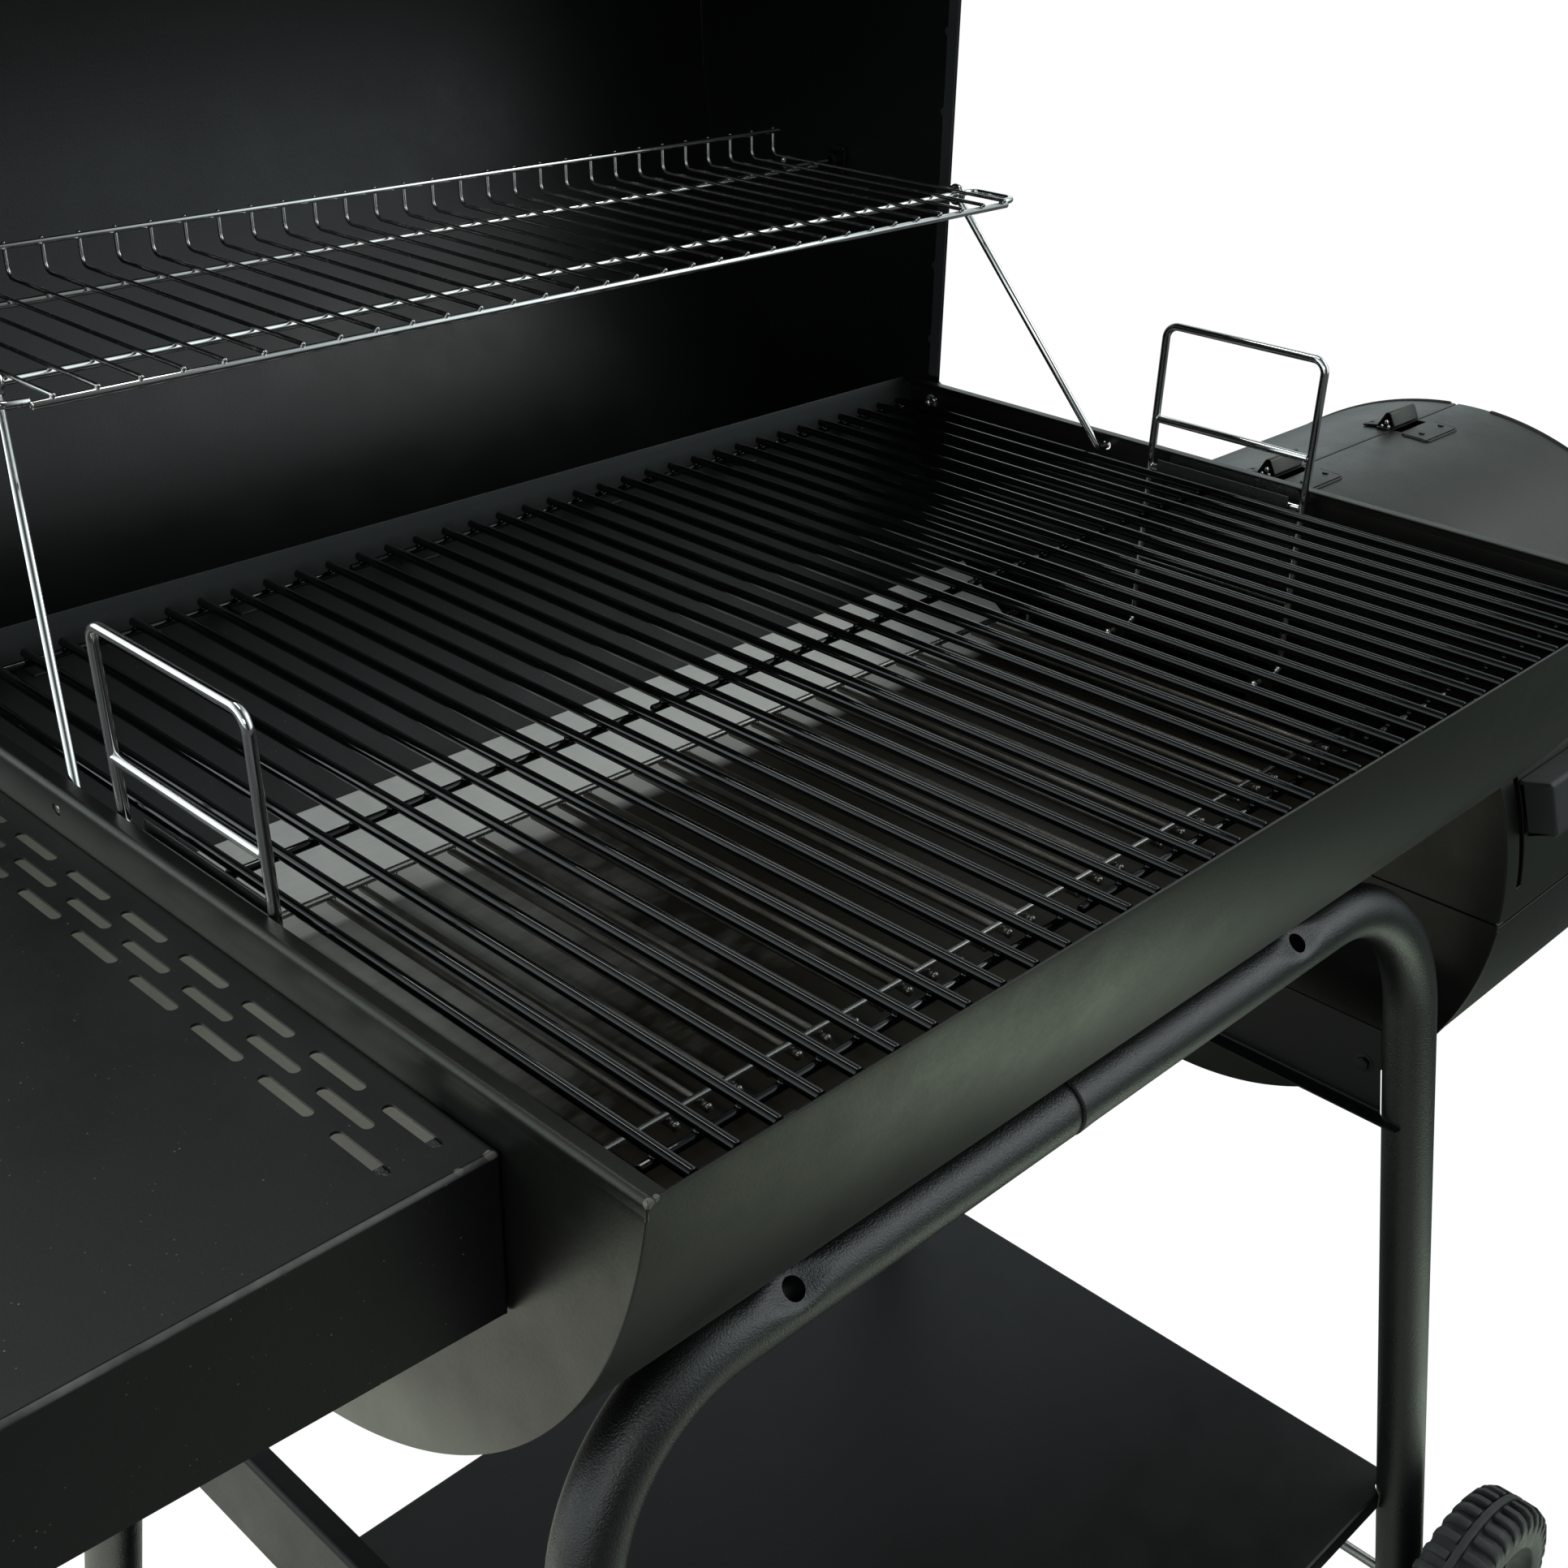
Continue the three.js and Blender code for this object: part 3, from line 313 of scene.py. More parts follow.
def prism(axis, outline, w0, w1, holes=(), bev=0.3):
    """A flat outline drawn out along an axis, with rounded edges."""
    loops = [clean(outline)] + [clean(h) for h in holes]
    if area2(loops[0]) < 0:
        loops[0].reverse()
    for h in loops[1:]:
        if area2(h) > 0:
            h.reverse()
    e = min(bev, (w1 - w0) * 0.45)
    k = 1 - math.sqrt(0.5)
    levels = [(w0, e), (w0 + k * e, k * e), (w0 + e, 0), (w1 - e, 0), (w1 - k * e, k * e), (w1, e)]
    verts, faces = [], []
    total = sum(len(lp) for lp in loops)
    for w, d in levels:
        for lp in loops:
            for u, v in inset(lp, d) if d else lp:
                verts.append({"X": (w, u, v), "Y": (u, w, v), "Z": (u, v, w)}[axis])
    start = 0
    for lp in loops:
        n = len(lp)
        for i in range(len(levels) - 1):
            for j in range(n):
                a = i * total + start + j
                b = i * total + start + (j + 1) % n
                faces.append((a, b, b + total, a + total))
        start += n
    flat = [[Vector((*p, 0)) for p in inset(lp, e)] for lp in loops]
    tris = geometry.tessellate_polygon(flat)
    faces += [tuple(t) for t in tris]
    o = (len(levels) - 1) * total
    faces += [tuple(i + o for i in t)[::-1] for t in tris]
    return verts, faces


def strip(path, t, tip=True):
    """The closed outline of a sheet of thickness t along an open path."""
    p = [Vector(tuple(q)[:2]) for q in path]
    left, right = [], []
    for i in range(len(p)):
        d = Vector((0, 0))
        if i:
            d += (p[i] - p[i - 1]).normalized()
        if i < len(p) - 1:
            d += (p[i + 1] - p[i]).normalized()
        d.normalize()
        seg = (p[i] - p[i - 1]).normalized() if i else (p[1] - p[0]).normalized()
        k = 1 / max(d.dot(seg), 0.5)
        nrm = Vector((-d.y, d.x)) * (t / 2 * k)
        left.append(p[i] + nrm)
        right.append(p[i] - nrm)
    d0 = (p[0] - p[1]).normalized()
    d1 = (p[-1] - p[-2]).normalized()
    out = list(left)
    if tip:
        q = t * 0.22
        n1 = Vector((-d1.y, d1.x))
        out[-1] = p[-1] + n1 * (t / 2) - d1 * q
        out += [p[-1] + n1 * (t / 2 - q), p[-1] - n1 * (t / 2 - q)]
        right[-1] = p[-1] - n1 * (t / 2) - d1 * q
    out += right[::-1]
    if tip:
        n0 = Vector((-d0.y, d0.x))
        out[-1] = p[0] + n0 * (t / 2) - d0 * q
        out += [p[0] + n0 * (t / 2 - q), p[0] - n0 * (t / 2 - q)]
        out[0] = p[0] - n0 * (t / 2) - d0 * q
    return [tuple(q) for q in out]


def box(x0, x1, y0, y1, z0, z1, bev=0.3):
    return prism("Z", [(x0, y0), (x1, y0), (x1, y1), (x0, y1)], z0, z1, bev=bev)


def rrect(a0, a1, b0, b1, r, n=6):
    return (
        arc(a1 - r, b1 - r, r, r, 0, 90, n)
        + arc(a0 + r, b1 - r, r, r, 90, 180, n)
        + arc(a0 + r, b0 + r, r, r, 180, 270, n)
        + arc(a1 - r, b0 + r, r, r, 270, 360, n)
    )


def boolean(base, cutters, op="DIFFERENCE"):
    """Cuts closed meshes from a closed mesh and returns vertices and faces."""

    def obj(vf):
        me = bpy.data.meshes.new("tmp")
        me.from_pydata([tuple(p) for p in vf[0]], [], vf[1])
        bm = bmesh.new()
        bm.from_mesh(me)
        bmesh.ops.remove_doubles(bm, verts=bm.verts, dist=1e-4)
        bmesh.ops.recalc_face_normals(bm, faces=bm.faces)
        bm.to_mesh(me)
        bm.free()
        o = bpy.data.objects.new("tmp", me)
        bpy.context.scene.collection.objects.link(o)
        return o

    b = obj(base)
    tools = [obj(c) for c in cutters]
    for t in tools:
        m = b.modifiers.new("cut", "BOOLEAN")
        m.operation = op
        m.solver = "EXACT"
        m.object = t
    bpy.context.view_layer.update()
    me = bpy.data.meshes.new_from_object(b.evaluated_get(bpy.context.evaluated_depsgraph_get()))
    out = ([tuple(v.co) for v in me.vertices], [tuple(p.vertices) for p in me.polygons])
    for o in [b] + tools:
        d = o.data
        bpy.data.objects.remove(o)
        bpy.data.meshes.remove(d)
    bpy.data.meshes.remove(me)
    return out


def turned(vf, centre, axis, angle):
    q = Quaternion(Vector(axis).normalized(), angle)
    c = Vector(centre)
    return [tuple(q @ (Vector(p) - c) + c) for p in vf[0]], vf[1]


def moved(vf, d):
    d = Vector(d)
    return [tuple(Vector(p) + d) for p in vf[0]], vf[1]


def hexagon(ca, cb, r, turn=0):
    return arc(ca, cb, r, r, turn, turn + 300, 5)


def bolt_head(at, axis, r, h, n=6, washer=True):
    """A hexagon head with a chamfered top on a thin washer."""
    at, axis = Vector(at), Vector(axis).normalized()
    q = Vector((0, 0, 1)).rotation_difference(axis)
    parts = []
    base = 0.0
    if washer:
        parts.append(lathe([(0, 0), (0, r * 1.35), (h * 0.14, r * 1.4), (h * 0.2, r * 1.3), (h * 0.2, 0)], at, axis, 28))
        base = h * 0.2
    hexa = prism("Z", arc(0, 0, r, r, 0, 360 - 360 / n, n - 1), base, base + h * 0.8, bev=min(0.5, h * 0.12))
    parts.append(([tuple(q @ Vector(p) + at) for p in hexa[0]], hexa[1]))
    parts.append(lathe([(base + h * 0.7, r * 0.74), (base + h * 0.88, r * 0.66), (base + h * 0.93, 0)], at, axis, 20))
    return parts


# ------------------------------------------------------------------ materials
def material(name):
    m = bpy.data.materials.new(name)
    m.use_nodes = True
    nt = m.node_tree
    bsdf = nt.nodes["Principled BSDF"]
    return m, nt, bsdf


class Nodes:
    def __init__(self, nt):
        self.nt = nt
        self.co = nt.nodes.new("ShaderNodeTexCoord").outputs["Object"]

    def new(self, kind, **props):
        n = self.nt.nodes.new(kind)
        for k, v in props.items():
            setattr(n, k, v)
        return n

    def link(self, a, b):
        self.nt.links.new(a, b)

    def mapped(self, scale):
        n = self.new("ShaderNodeMapping")
        n.inputs["Scale"].default_value = scale
        self.link(self.co, n.inputs["Vector"])
        return n.outputs["Vector"]

    def noise(self, scale, detail=3.0, rough=0.5, vec=None, distort=0.0):
        n = self.new("ShaderNodeTexNoise")
        n.inputs["Scale"].default_value = scale
        n.inputs["Detail"].default_value = detail
        n.inputs["Roughness"].default_value = rough
        n.inputs["Distortion"].default_value = distort
        self.link(vec or self.co, n.inputs["Vector"])
        return n.outputs["Fac"]

    def voronoi(self, scale, feature="F1", vec=None, rnd=1.0):
        n = self.new("ShaderNodeTexVoronoi", feature=feature)
        n.inputs["Scale"].default_value = scale
        n.inputs["Randomness"].default_value = rnd
        self.link(vec or self.co, n.inputs["Vector"])
        return n

    def ramp(self, fac, stops, interp="LINEAR"):
        n = self.new("ShaderNodeValToRGB")
        n.color_ramp.interpolation = interp
        e = n.color_ramp.elements
        while len(e) < len(stops):
            e.new(0.5)
        for s, (pos, col) in zip(e, stops):
            s.position = pos
            s.color = (*col, 1) if len(col) == 3 else col
        self.link(fac, n.inputs["Fac"])
        return n.outputs["Color"]

    def range(self, fac, a, b, lo=0.0, hi=1.0):
        n = self.new("ShaderNodeMapRange")
        n.inputs["From Min"].default_value = lo
        n.inputs["From Max"].default_value = hi
        n.inputs["To Min"].default_value = a
        n.inputs["To Max"].default_value = b
        self.link(fac, n.inputs["Value"])
        return n.outputs["Result"]

    def math(self, op, a, b=None):
        n = self.new("ShaderNodeMath", operation=op)
        for i, x in enumerate((a, b)):
            if x is None:
                continue
            if isinstance(x, (int, float)):
                n.inputs[i].default_value = x
            else:
                self.link(x, n.inputs[i])
        return n.outputs["Value"]

    def mix(self, fac, a, b):
        n = self.new("ShaderNodeMix", data_type="RGBA")
        if isinstance(fac, (int, float)):
            n.inputs["Factor"].default_value = fac
        else:
            self.link(fac, n.inputs["Factor"])
        for key, x in (("A", a), ("B", b)):
            s = [i for i in n.inputs if i.name == key and i.type == "RGBA"][0]
            if isinstance(x, tuple):
                s.default_value = (*x, 1)
            else:
                self.link(x, s)
        return [o for o in n.outputs if o.type == "RGBA"][0]

    def bump(self, height, strength, distance=0.0002, normal=None):
        n = self.new("ShaderNodeBump")
        n.inputs["Strength"].default_value = strength
        n.inputs["Distance"].default_value = distance
        self.link(height, n.inputs["Height"])
        if normal is not None:
            self.link(normal, n.inputs["Normal"])
        return n.outputs["Normal"]


def powder(name, dark, light, rough=(0.34, 0.46), spec=0.5, tint=(1.0, 1.0, 1.0), sparkle=0.5, peel=0.35, grain=0.00012, grit=620, dust=0.0, wear=None, edges=(), painted_light_patches=(), chip_tone=(0.20, 0.185, 0.16)):
    """Satin powder coat: orange peel, cloudy tone, fine light grey flecks, dust and worn spots, with painted highlights
    along folded edges and painted light patches.
    """
    m, nt, bsdf = material(name)
    k = Nodes(nt)
    cloud = k.noise(9, 4, 0.6)
    col = k.ramp(cloud, [(0.3, dark), (0.72, light)])
    fine = k.noise(grit, 2, 0.5)
    fleck = k.voronoi(900)
    dots = k.range(fleck.outputs["Distance"], 1.0, 0.0, 0.05, 0.2)
    gate = k.range(k.noise(240, 1, 0.5), 0.0, 1.0, 0.56, 0.66)
    amount = k.math("MULTIPLY", k.math("MULTIPLY", dots, gate), sparkle)
    col = k.mix(amount, col, (0.33, 0.35, 0.35))
    if dust:
        specks = k.range(k.voronoi(330).outputs["Distance"], 1.0, 0.0, 0.03, 0.12)
        rare = k.range(k.noise(90, 2, 0.6), 0.0, dust, 0.52, 0.64)
        col = k.mix(k.math("MULTIPLY", specks, rare), col, (0.28, 0.27, 0.24))
    if wear:
        total = None
        for (wx, wy, wz), rad in wear:
            d = k.new("ShaderNodeVectorMath", operation="DISTANCE")
            k.link(k.co, d.inputs[0])
            d.inputs[1].default_value = to_m((wx, wy, wz))
            near = k.range(d.outputs["Value"], 1.0, 0.0, rad * 0.25 / 1000, rad / 1000)
            total = near if total is None else k.math("MAXIMUM", total, near)
        chip = k.range(k.math("ADD", total, k.math("MULTIPLY", k.noise(260, 3, 0.7), 0.9)), 0.0, 1.0, 1.14, 1.2)
        col = k.mix(chip, col, chip_tone)
    for ey, ez, reach in edges:
        # painted highlight: a thin light line along a folded edge
        part = k.new("ShaderNodeSeparateXYZ")
        k.link(k.co, part.inputs[0])
        _, ry, rz = to_m((0, ey, ez))
        fy = k.range(k.math("ABSOLUTE", k.math("SUBTRACT", part.outputs["Y"], ry)), 1.0, 0.0, reach * 0.0005, reach * 0.001)
        fz = k.range(k.math("ABSOLUTE", k.math("SUBTRACT", part.outputs["Z"], rz)), 1.0, 0.0, reach * 0.0005, reach * 0.001)
        edge_glint = k.math("MULTIPLY", k.math("MULTIPLY", fy, fz), k.range(k.noise(60, 3, 0.6), 0.35, 1.0, 0.35, 0.65))
        col = k.mix(edge_glint, col, (0.13, 0.13, 0.125))
    for x0, x1, y0, y1, z0, z1, soft, amount in painted_light_patches:
        # painted light: lighter patches on the outside of the left end plate and inside the table's end, standing in
        # for light thrown up from the floor
        part = k.new("ShaderNodeSeparateXYZ")
        k.link(k.co, part.inputs[0])
        lx, ly, lz = to_m((x0, y0, z0))
        hx, hy, hz = to_m((x1, y1, z1))
        d = soft / 1000
        at = k.math("MULTIPLY", k.range(part.outputs["X"], 0.0, 1.0, lx - 0.0003, lx), k.range(part.outputs["X"], 1.0, 0.0, hx, hx + 0.0003))
        at = k.math("MULTIPLY", at, k.math("MULTIPLY", k.range(part.outputs["Y"], 0.0, 1.0, ly - d, ly), k.range(part.outputs["Y"], 1.0, 0.0, hy, hy + d)))
        at = k.math("MULTIPLY", at, k.math("MULTIPLY", k.range(part.outputs["Z"], 0.0, 1.0, lz - d, lz), k.range(part.outputs["Z"], 1.0, 0.0, hz, hz + d)))
        at = k.math("MULTIPLY", at, k.range(k.noise(34, 4, 0.6), 0.8 * amount, amount, 0.3, 0.7))
        col = k.mix(at, col, (0.34, 0.333, 0.295))
    k.link(col, bsdf.inputs["Base Color"])
    r = k.range(k.noise(26, 5, 0.65), rough[0], rough[1], 0.3, 0.7)
    r = k.math("ADD", r, k.math("MULTIPLY", k.math("SUBTRACT", fine, 0.5), 0.10))
    k.link(r, bsdf.inputs["Roughness"])
    bsdf.inputs["Specular IOR Level"].default_value = spec
    bsdf.inputs["Specular Tint"].default_value = (*tint, 1)
    h = k.math("ADD", fine, k.math("MULTIPLY", k.noise(grit * 2.4, 2, 0.6), 0.5))
    n1 = k.bump(h, peel, grain)
    k.link(k.bump(k.noise(7, 2, 0.5), 0.12, 0.002, n1), bsdf.inputs["Normal"])
    return m


def chrome(name, base=(0.86, 0.86, 0.85), rough=(0.07, 0.14), smoked=0.0):
    m, nt, bsdf = material(name)
    k = Nodes(nt)
    cloud = k.noise(60, 4, 0.6)
    k.link(k.ramp(cloud, [(0.25, tuple(c * 0.86 for c in base)), (0.7, base)]), bsdf.inputs["Base Color"])
    bsdf.inputs["Metallic"].default_value = 1.0
    r = k.range(k.noise(210, 3, 0.6), rough[0], rough[1], 0.3, 0.75)
    if smoked:
        # plating dulled by smoke below the rim
        at = k.new("ShaderNodeSeparateXYZ")
        k.link(k.co, at.inputs[0])
        r = k.math("ADD", r, k.range(at.outputs["Z"], 0.1, 0.0, (smoked - 22) / 1000, smoked / 1000))
    k.link(r, bsdf.inputs["Roughness"])
    k.link(k.bump(k.noise(160, 2, 0.5), 0.025, 0.0002), bsdf.inputs["Normal"])
    return m


def enamel(name):
    """Glossy black enamel on wire: nearly black, with small runs and pinholes."""
    m, nt, bsdf = material(name)
    k = Nodes(nt)
    cloud = k.noise(30, 3, 0.5)
    col = k.ramp(cloud, [(0.3, (0.0012, 0.0013, 0.0014)), (0.75, (0.0030, 0.0032, 0.0034))])
    bits = k.range(k.voronoi(420).outputs["Distance"], 1.0, 0.0, 0.02, 0.09)
    col = k.mix(k.math("MULTIPLY", bits, k.range(k.noise(50, 2), 0, 0.5, 0.6, 0.7)), col, (0.12, 0.12, 0.12))
    k.link(col, bsdf.inputs["Base Color"])
    k.link(k.range(k.noise(70, 4, 0.6), 0.05, 0.12, 0.3, 0.72), bsdf.inputs["Roughness"])
    bsdf.inputs["Specular IOR Level"].default_value = 0.5
    k.link(k.bump(k.noise(240, 3, 0.55), 0.08, 0.0004), bsdf.inputs["Normal"])
    return m


def galvanised(name, low=(0.30, 0.303, 0.29), high=(0.46, 0.465, 0.45), metal=1.0, rough=(0.30, 0.44), burn_and_reflection=False):
    """Bright rolled steel sheet: long rolling lines, faint spangle and fine scratches."""
    m, nt, bsdf = material(name)
    k = Nodes(nt)
    lines = k.noise(1, 4, 0.6, k.mapped((3, 900, 900)))
    cloud = k.noise(14, 4, 0.6)
    tone = k.math("ADD", k.math("MULTIPLY", lines, 0.5), k.math("MULTIPLY", cloud, 0.5))
    col = k.ramp(tone, [(0.3, low), (0.7, high)])
    scr = None
    for rot, s in ((0.32, 26.0), (-0.5, 17.0), (0.12, 40.0)):
        mp = k.new("ShaderNodeMapping")
        mp.inputs["Rotation"].default_value = (0, 0, rot)
        mp.inputs["Scale"].default_value = (1.5, s, s)
        k.link(k.co, mp.inputs["Vector"])
        f = k.range(k.voronoi(3, "DISTANCE_TO_EDGE", mp.outputs["Vector"]).outputs["Distance"], 1.0, 0.0, 0.0, 0.006)
        f = k.math("MULTIPLY", f, k.range(k.noise(22, 2), 0.0, 1.0, 0.5, 0.62))
        scr = f if scr is None else k.math("MAXIMUM", scr, f)
    col = k.mix(k.math("MULTIPLY", scr, 0.75), col, (0.92, 0.92, 0.9))
    if burn_and_reflection:
        # burnt brown where the coals lay and clean behind them; the back-left corner is also kept bright as a painted
        # reflection, so the pan darkens towards the front and right
        at = k.new("ShaderNodeSeparateXYZ")
        k.link(k.co, at.inputs[0])
        behind = k.range(at.outputs["Y"], 0.0, 1.0, -0.046, -0.036)
        lit_corner = k.math("MULTIPLY", k.range(at.outputs["X"], 1.0, 0.0, -0.27, 0.02), k.range(at.outputs["Y"], 0.0, 1.0, -0.27, -0.10))
        stain_and_lit_corner = k.math("ADD", k.math("MULTIPLY", k.noise(11, 4, 0.7, k.mapped((1.0, 2.6, 1.0))), 0.5), k.math("MULTIPLY", lit_corner, 0.75))
        clear = k.math("MAXIMUM", behind, k.range(stain_and_lit_corner, 0.0, 0.6, 0.34, 0.86))
        col = k.mix(clear, (0.016, 0.013, 0.008), col)
        bsdf.inputs["Specular Tint"].default_value = (1.0, 0.96, 0.84, 1)
    k.link(col, bsdf.inputs["Base Color"])
    bsdf.inputs["Metallic"].default_value = metal
    k.link(k.math("ADD", k.range(lines, rough[0], rough[1], 0.3, 0.7), k.math("MULTIPLY", scr, -0.1)), bsdf.inputs["Roughness"])
    k.link(k.bump(k.math("ADD", lines, k.math("MULTIPLY", scr, 2.0)), 0.12, 0.0001), bsdf.inputs["Normal"])
    return m


def heat_wire(name):
    m, nt, bsdf = material(name)
    k = Nodes(nt)
    cloud = k.noise(18, 4, 0.65)
    col = k.ramp(cloud, [(0.25, (0.07, 0.063, 0.053)), (0.5, (0.17, 0.158, 0.135)), (0.8, (0.34, 0.33, 0.30))])
    k.link(col, bsdf.inputs["Base Color"])
    bsdf.inputs["Metallic"].default_value = 0.85
    k.link(k.range(k.noise(120, 3, 0.6), 0.34, 0.55, 0.3, 0.7), bsdf.inputs["Roughness"])
    k.link(k.bump(k.noise(420, 3, 0.6), 0.2, 0.0002), bsdf.inputs["Normal"])
    return m


def plastic(name, dark, light, rough=(0.42, 0.6), grain=0.25):
    m, nt, bsdf = material(name)
    k = Nodes(nt)
    k.link(k.ramp(k.noise(34, 4, 0.6), [(0.3, dark), (0.7, light)]), bsdf.inputs["Base Color"])
    k.link(k.range(k.noise(80, 4, 0.6), rough[0], rough[1], 0.3, 0.7), bsdf.inputs["Roughness"])
    k.link(k.bump(k.noise(900, 3, 0.6), grain, 0.00015), bsdf.inputs["Normal"])
    return m


# barrel paint: painted light patches on the lower outside of the left end plate and on the part under the table
M_BARREL = powder("barrel_paint", (0.0022, 0.0026, 0.0022), (0.0036, 0.0042, 0.0036), (0.34, 0.44), tint=(1.0, 1.0, 0.88), sparkle=0.07,
                  painted_light_patches=[(-1, 0.5, -60, 560, RIM - 260, RIM - 178, 48, 0.52), (-1, 0.5, 125, 470, RIM - 112, RIM - 30, 30, 0.45)],
                  wear=[((1.2, 0.8, RIM - 1), 4.0), ((4.0, 0.8, RIM - 0.5), 2.4), ((697.5, 52.5, RIM - 229), 3.4), ((701, 52, RIM - 229), 2.2)],
                  chip_tone=(0.13, 0.12, 0.105))
# inside of the barrel: a lighter copy of the barrel paint, painted light on the inner faces
M_INNER_LIT = powder("inner_paint_lit", (0.012, 0.0142, 0.0138), (0.019, 0.022, 0.0215), (0.42, 0.54), sparkle=0.04, dust=0.6)
M_LID = powder("lid_paint", (0.0020, 0.0024, 0.0025), (0.0032, 0.0038, 0.0039), (0.34, 0.42), sparkle=0.03)
# table paint: a painted highlight along the front fold and a painted light patch inside the table's end
M_TABLE = powder("table_paint", (0.0030, 0.0030, 0.0030), (0.0048, 0.0048, 0.0047), (0.42, 0.52), sparkle=0.10, dust=1.0,
                 wear=[((-3.5, 67, TZ), 3.9), ((-15, 67, TZ), 3.2), ((-1.5, 80, TZ - 1), 2.0)], edges=[(66.7, TZ - 0.7, 1.15)], painted_light_patches=[(-2.4, -1.1, 74, 428, TZ - 61, TZ - 3, 2, 1.0)])
M_LEG = powder("frame_paint", (0.0028, 0.0031, 0.0032), (0.0046, 0.0050, 0.0052), (0.25, 0.34), spec=1.0, sparkle=0.5, peel=1.0, grain=0.00024, grit=1150)
M_SHELF = powder("shelf_paint", (0.0028, 0.0031, 0.0031), (0.0044, 0.0049, 0.0049), (0.38, 0.48), spec=0.38, sparkle=0.05, dust=0.25)
# hem inside the lid ends: a lighter copy of the lid paint, painted light where the hem sits in shade
M_HEM_LIT = powder("hem_paint_lit", (0.026, 0.030, 0.031), (0.040, 0.045, 0.046), (0.40, 0.50), sparkle=0.04)
M_CHROME = chrome("chrome_wire")
M_LADDER = chrome("ladder_wire", smoked=RIM - 4)
M_RACK = chrome("rack_wire", (0.60, 0.60, 0.585), (0.16, 0.3))
M_ENAMEL = enamel("grate_enamel")
M_ZINC = galvanised("galvanised")
# tray: burnt stain plus a painted reflection, bright at the back-left corner
M_PAN = galvanised("tray_steel", (0.78, 0.785, 0.75), (0.90, 0.905, 0.87), 0.2, (0.34, 0.48), burn_and_reflection=True)
M_COAL = heat_wire("coal_wire")
M_BURNT = chrome("burnt_steel", (0.30, 0.30, 0.285), (0.2, 0.34))
M_PLASTIC = plastic("black_plastic", (0.016, 0.017, 0.018), (0.028, 0.029, 0.030))
M_TREAD = plastic("tread_plastic", (0.030, 0.031, 0.032), (0.052, 0.053, 0.054), (0.5, 0.7), 0.4)
M_DIAL = plastic("dial_face", (0.66, 0.65, 0.61), (0.74, 0.73, 0.69), (0.25, 0.35), 0.05)
M_MARK = plastic("dial_marks", (0.02, 0.02, 0.02), (0.03, 0.03, 0.03), (0.4, 0.5), 0.05)
M_NEEDLE = plastic("dial_needle", (0.42, 0.02, 0.015), (0.5, 0.03, 0.02), (0.3, 0.4), 0.05)


def side(flip, x):
    return L - x if flip else x


def sspan(flip, a, b):
    return (L - b, L - a) if flip else (a, b)


SIDES = (("left", False), ("right", True))

# handle uprights (y), top and rungs (z)
LADDER = {
    "left": (203.6, 306.4, RIM + 76.9, (RIM + 22.4, RIM - 6.2, RIM - 69.3)),
    "right": (198.6, 301.4, RIM + 72.9, (RIM + 18.4, RIM - 10.2, RIM - 66.3)),
}

# ------------------------------------------------------------------ barrel
SMOKE = rrect(210, 308, RIM - 160, RIM - 101, 18, 8)
g = Geo()


def section(t, low=0.0, n=150):
    a0 = 180 + math.degrees(math.asin((BZ - RIM + low) / (BB - t)))
    return arc(MID, BZ, BA - t, BB - t, a0, 540 - a0, n)


g.add(prism("X", strip(section(0.6), 1.2), 0.9, L - 0.9, bev=0.25))
for x in (66, 172, 278, 402, 508, 614):
    for y0, y1, z in ((4.2, 13.5, RIM - 12.3), (476, 495.6, RIM - 15.7)):
        s = strip(bent([(y0, z - 9), (y0, z - 1.1), (y1, z - 1.1)] if y0 < 100 else [(y1, z - 9), (y1, z - 1.1), (y0, z - 1.1)], 2.5, 4), 1.8)
        g.add(prism("X", s, x - 7, x + 7, bev=0.4))
# faces inside the barrel take the lighter copy of the paint, a painted light
for i, f in enumerate(g.f):
    cy, cz = (sum(g.v[q][a] for q in f) / len(f) for a in (1, 2))
    if math.hypot((cy - MID) / (BA - 0.6), (cz - BZ) / (BB - 0.6)) < 0.999:
        g.m[i] = 1
piece("body_shell_detail", g, [M_BARREL, M_INNER_LIT], "frame", "body_shell", weighted=True)

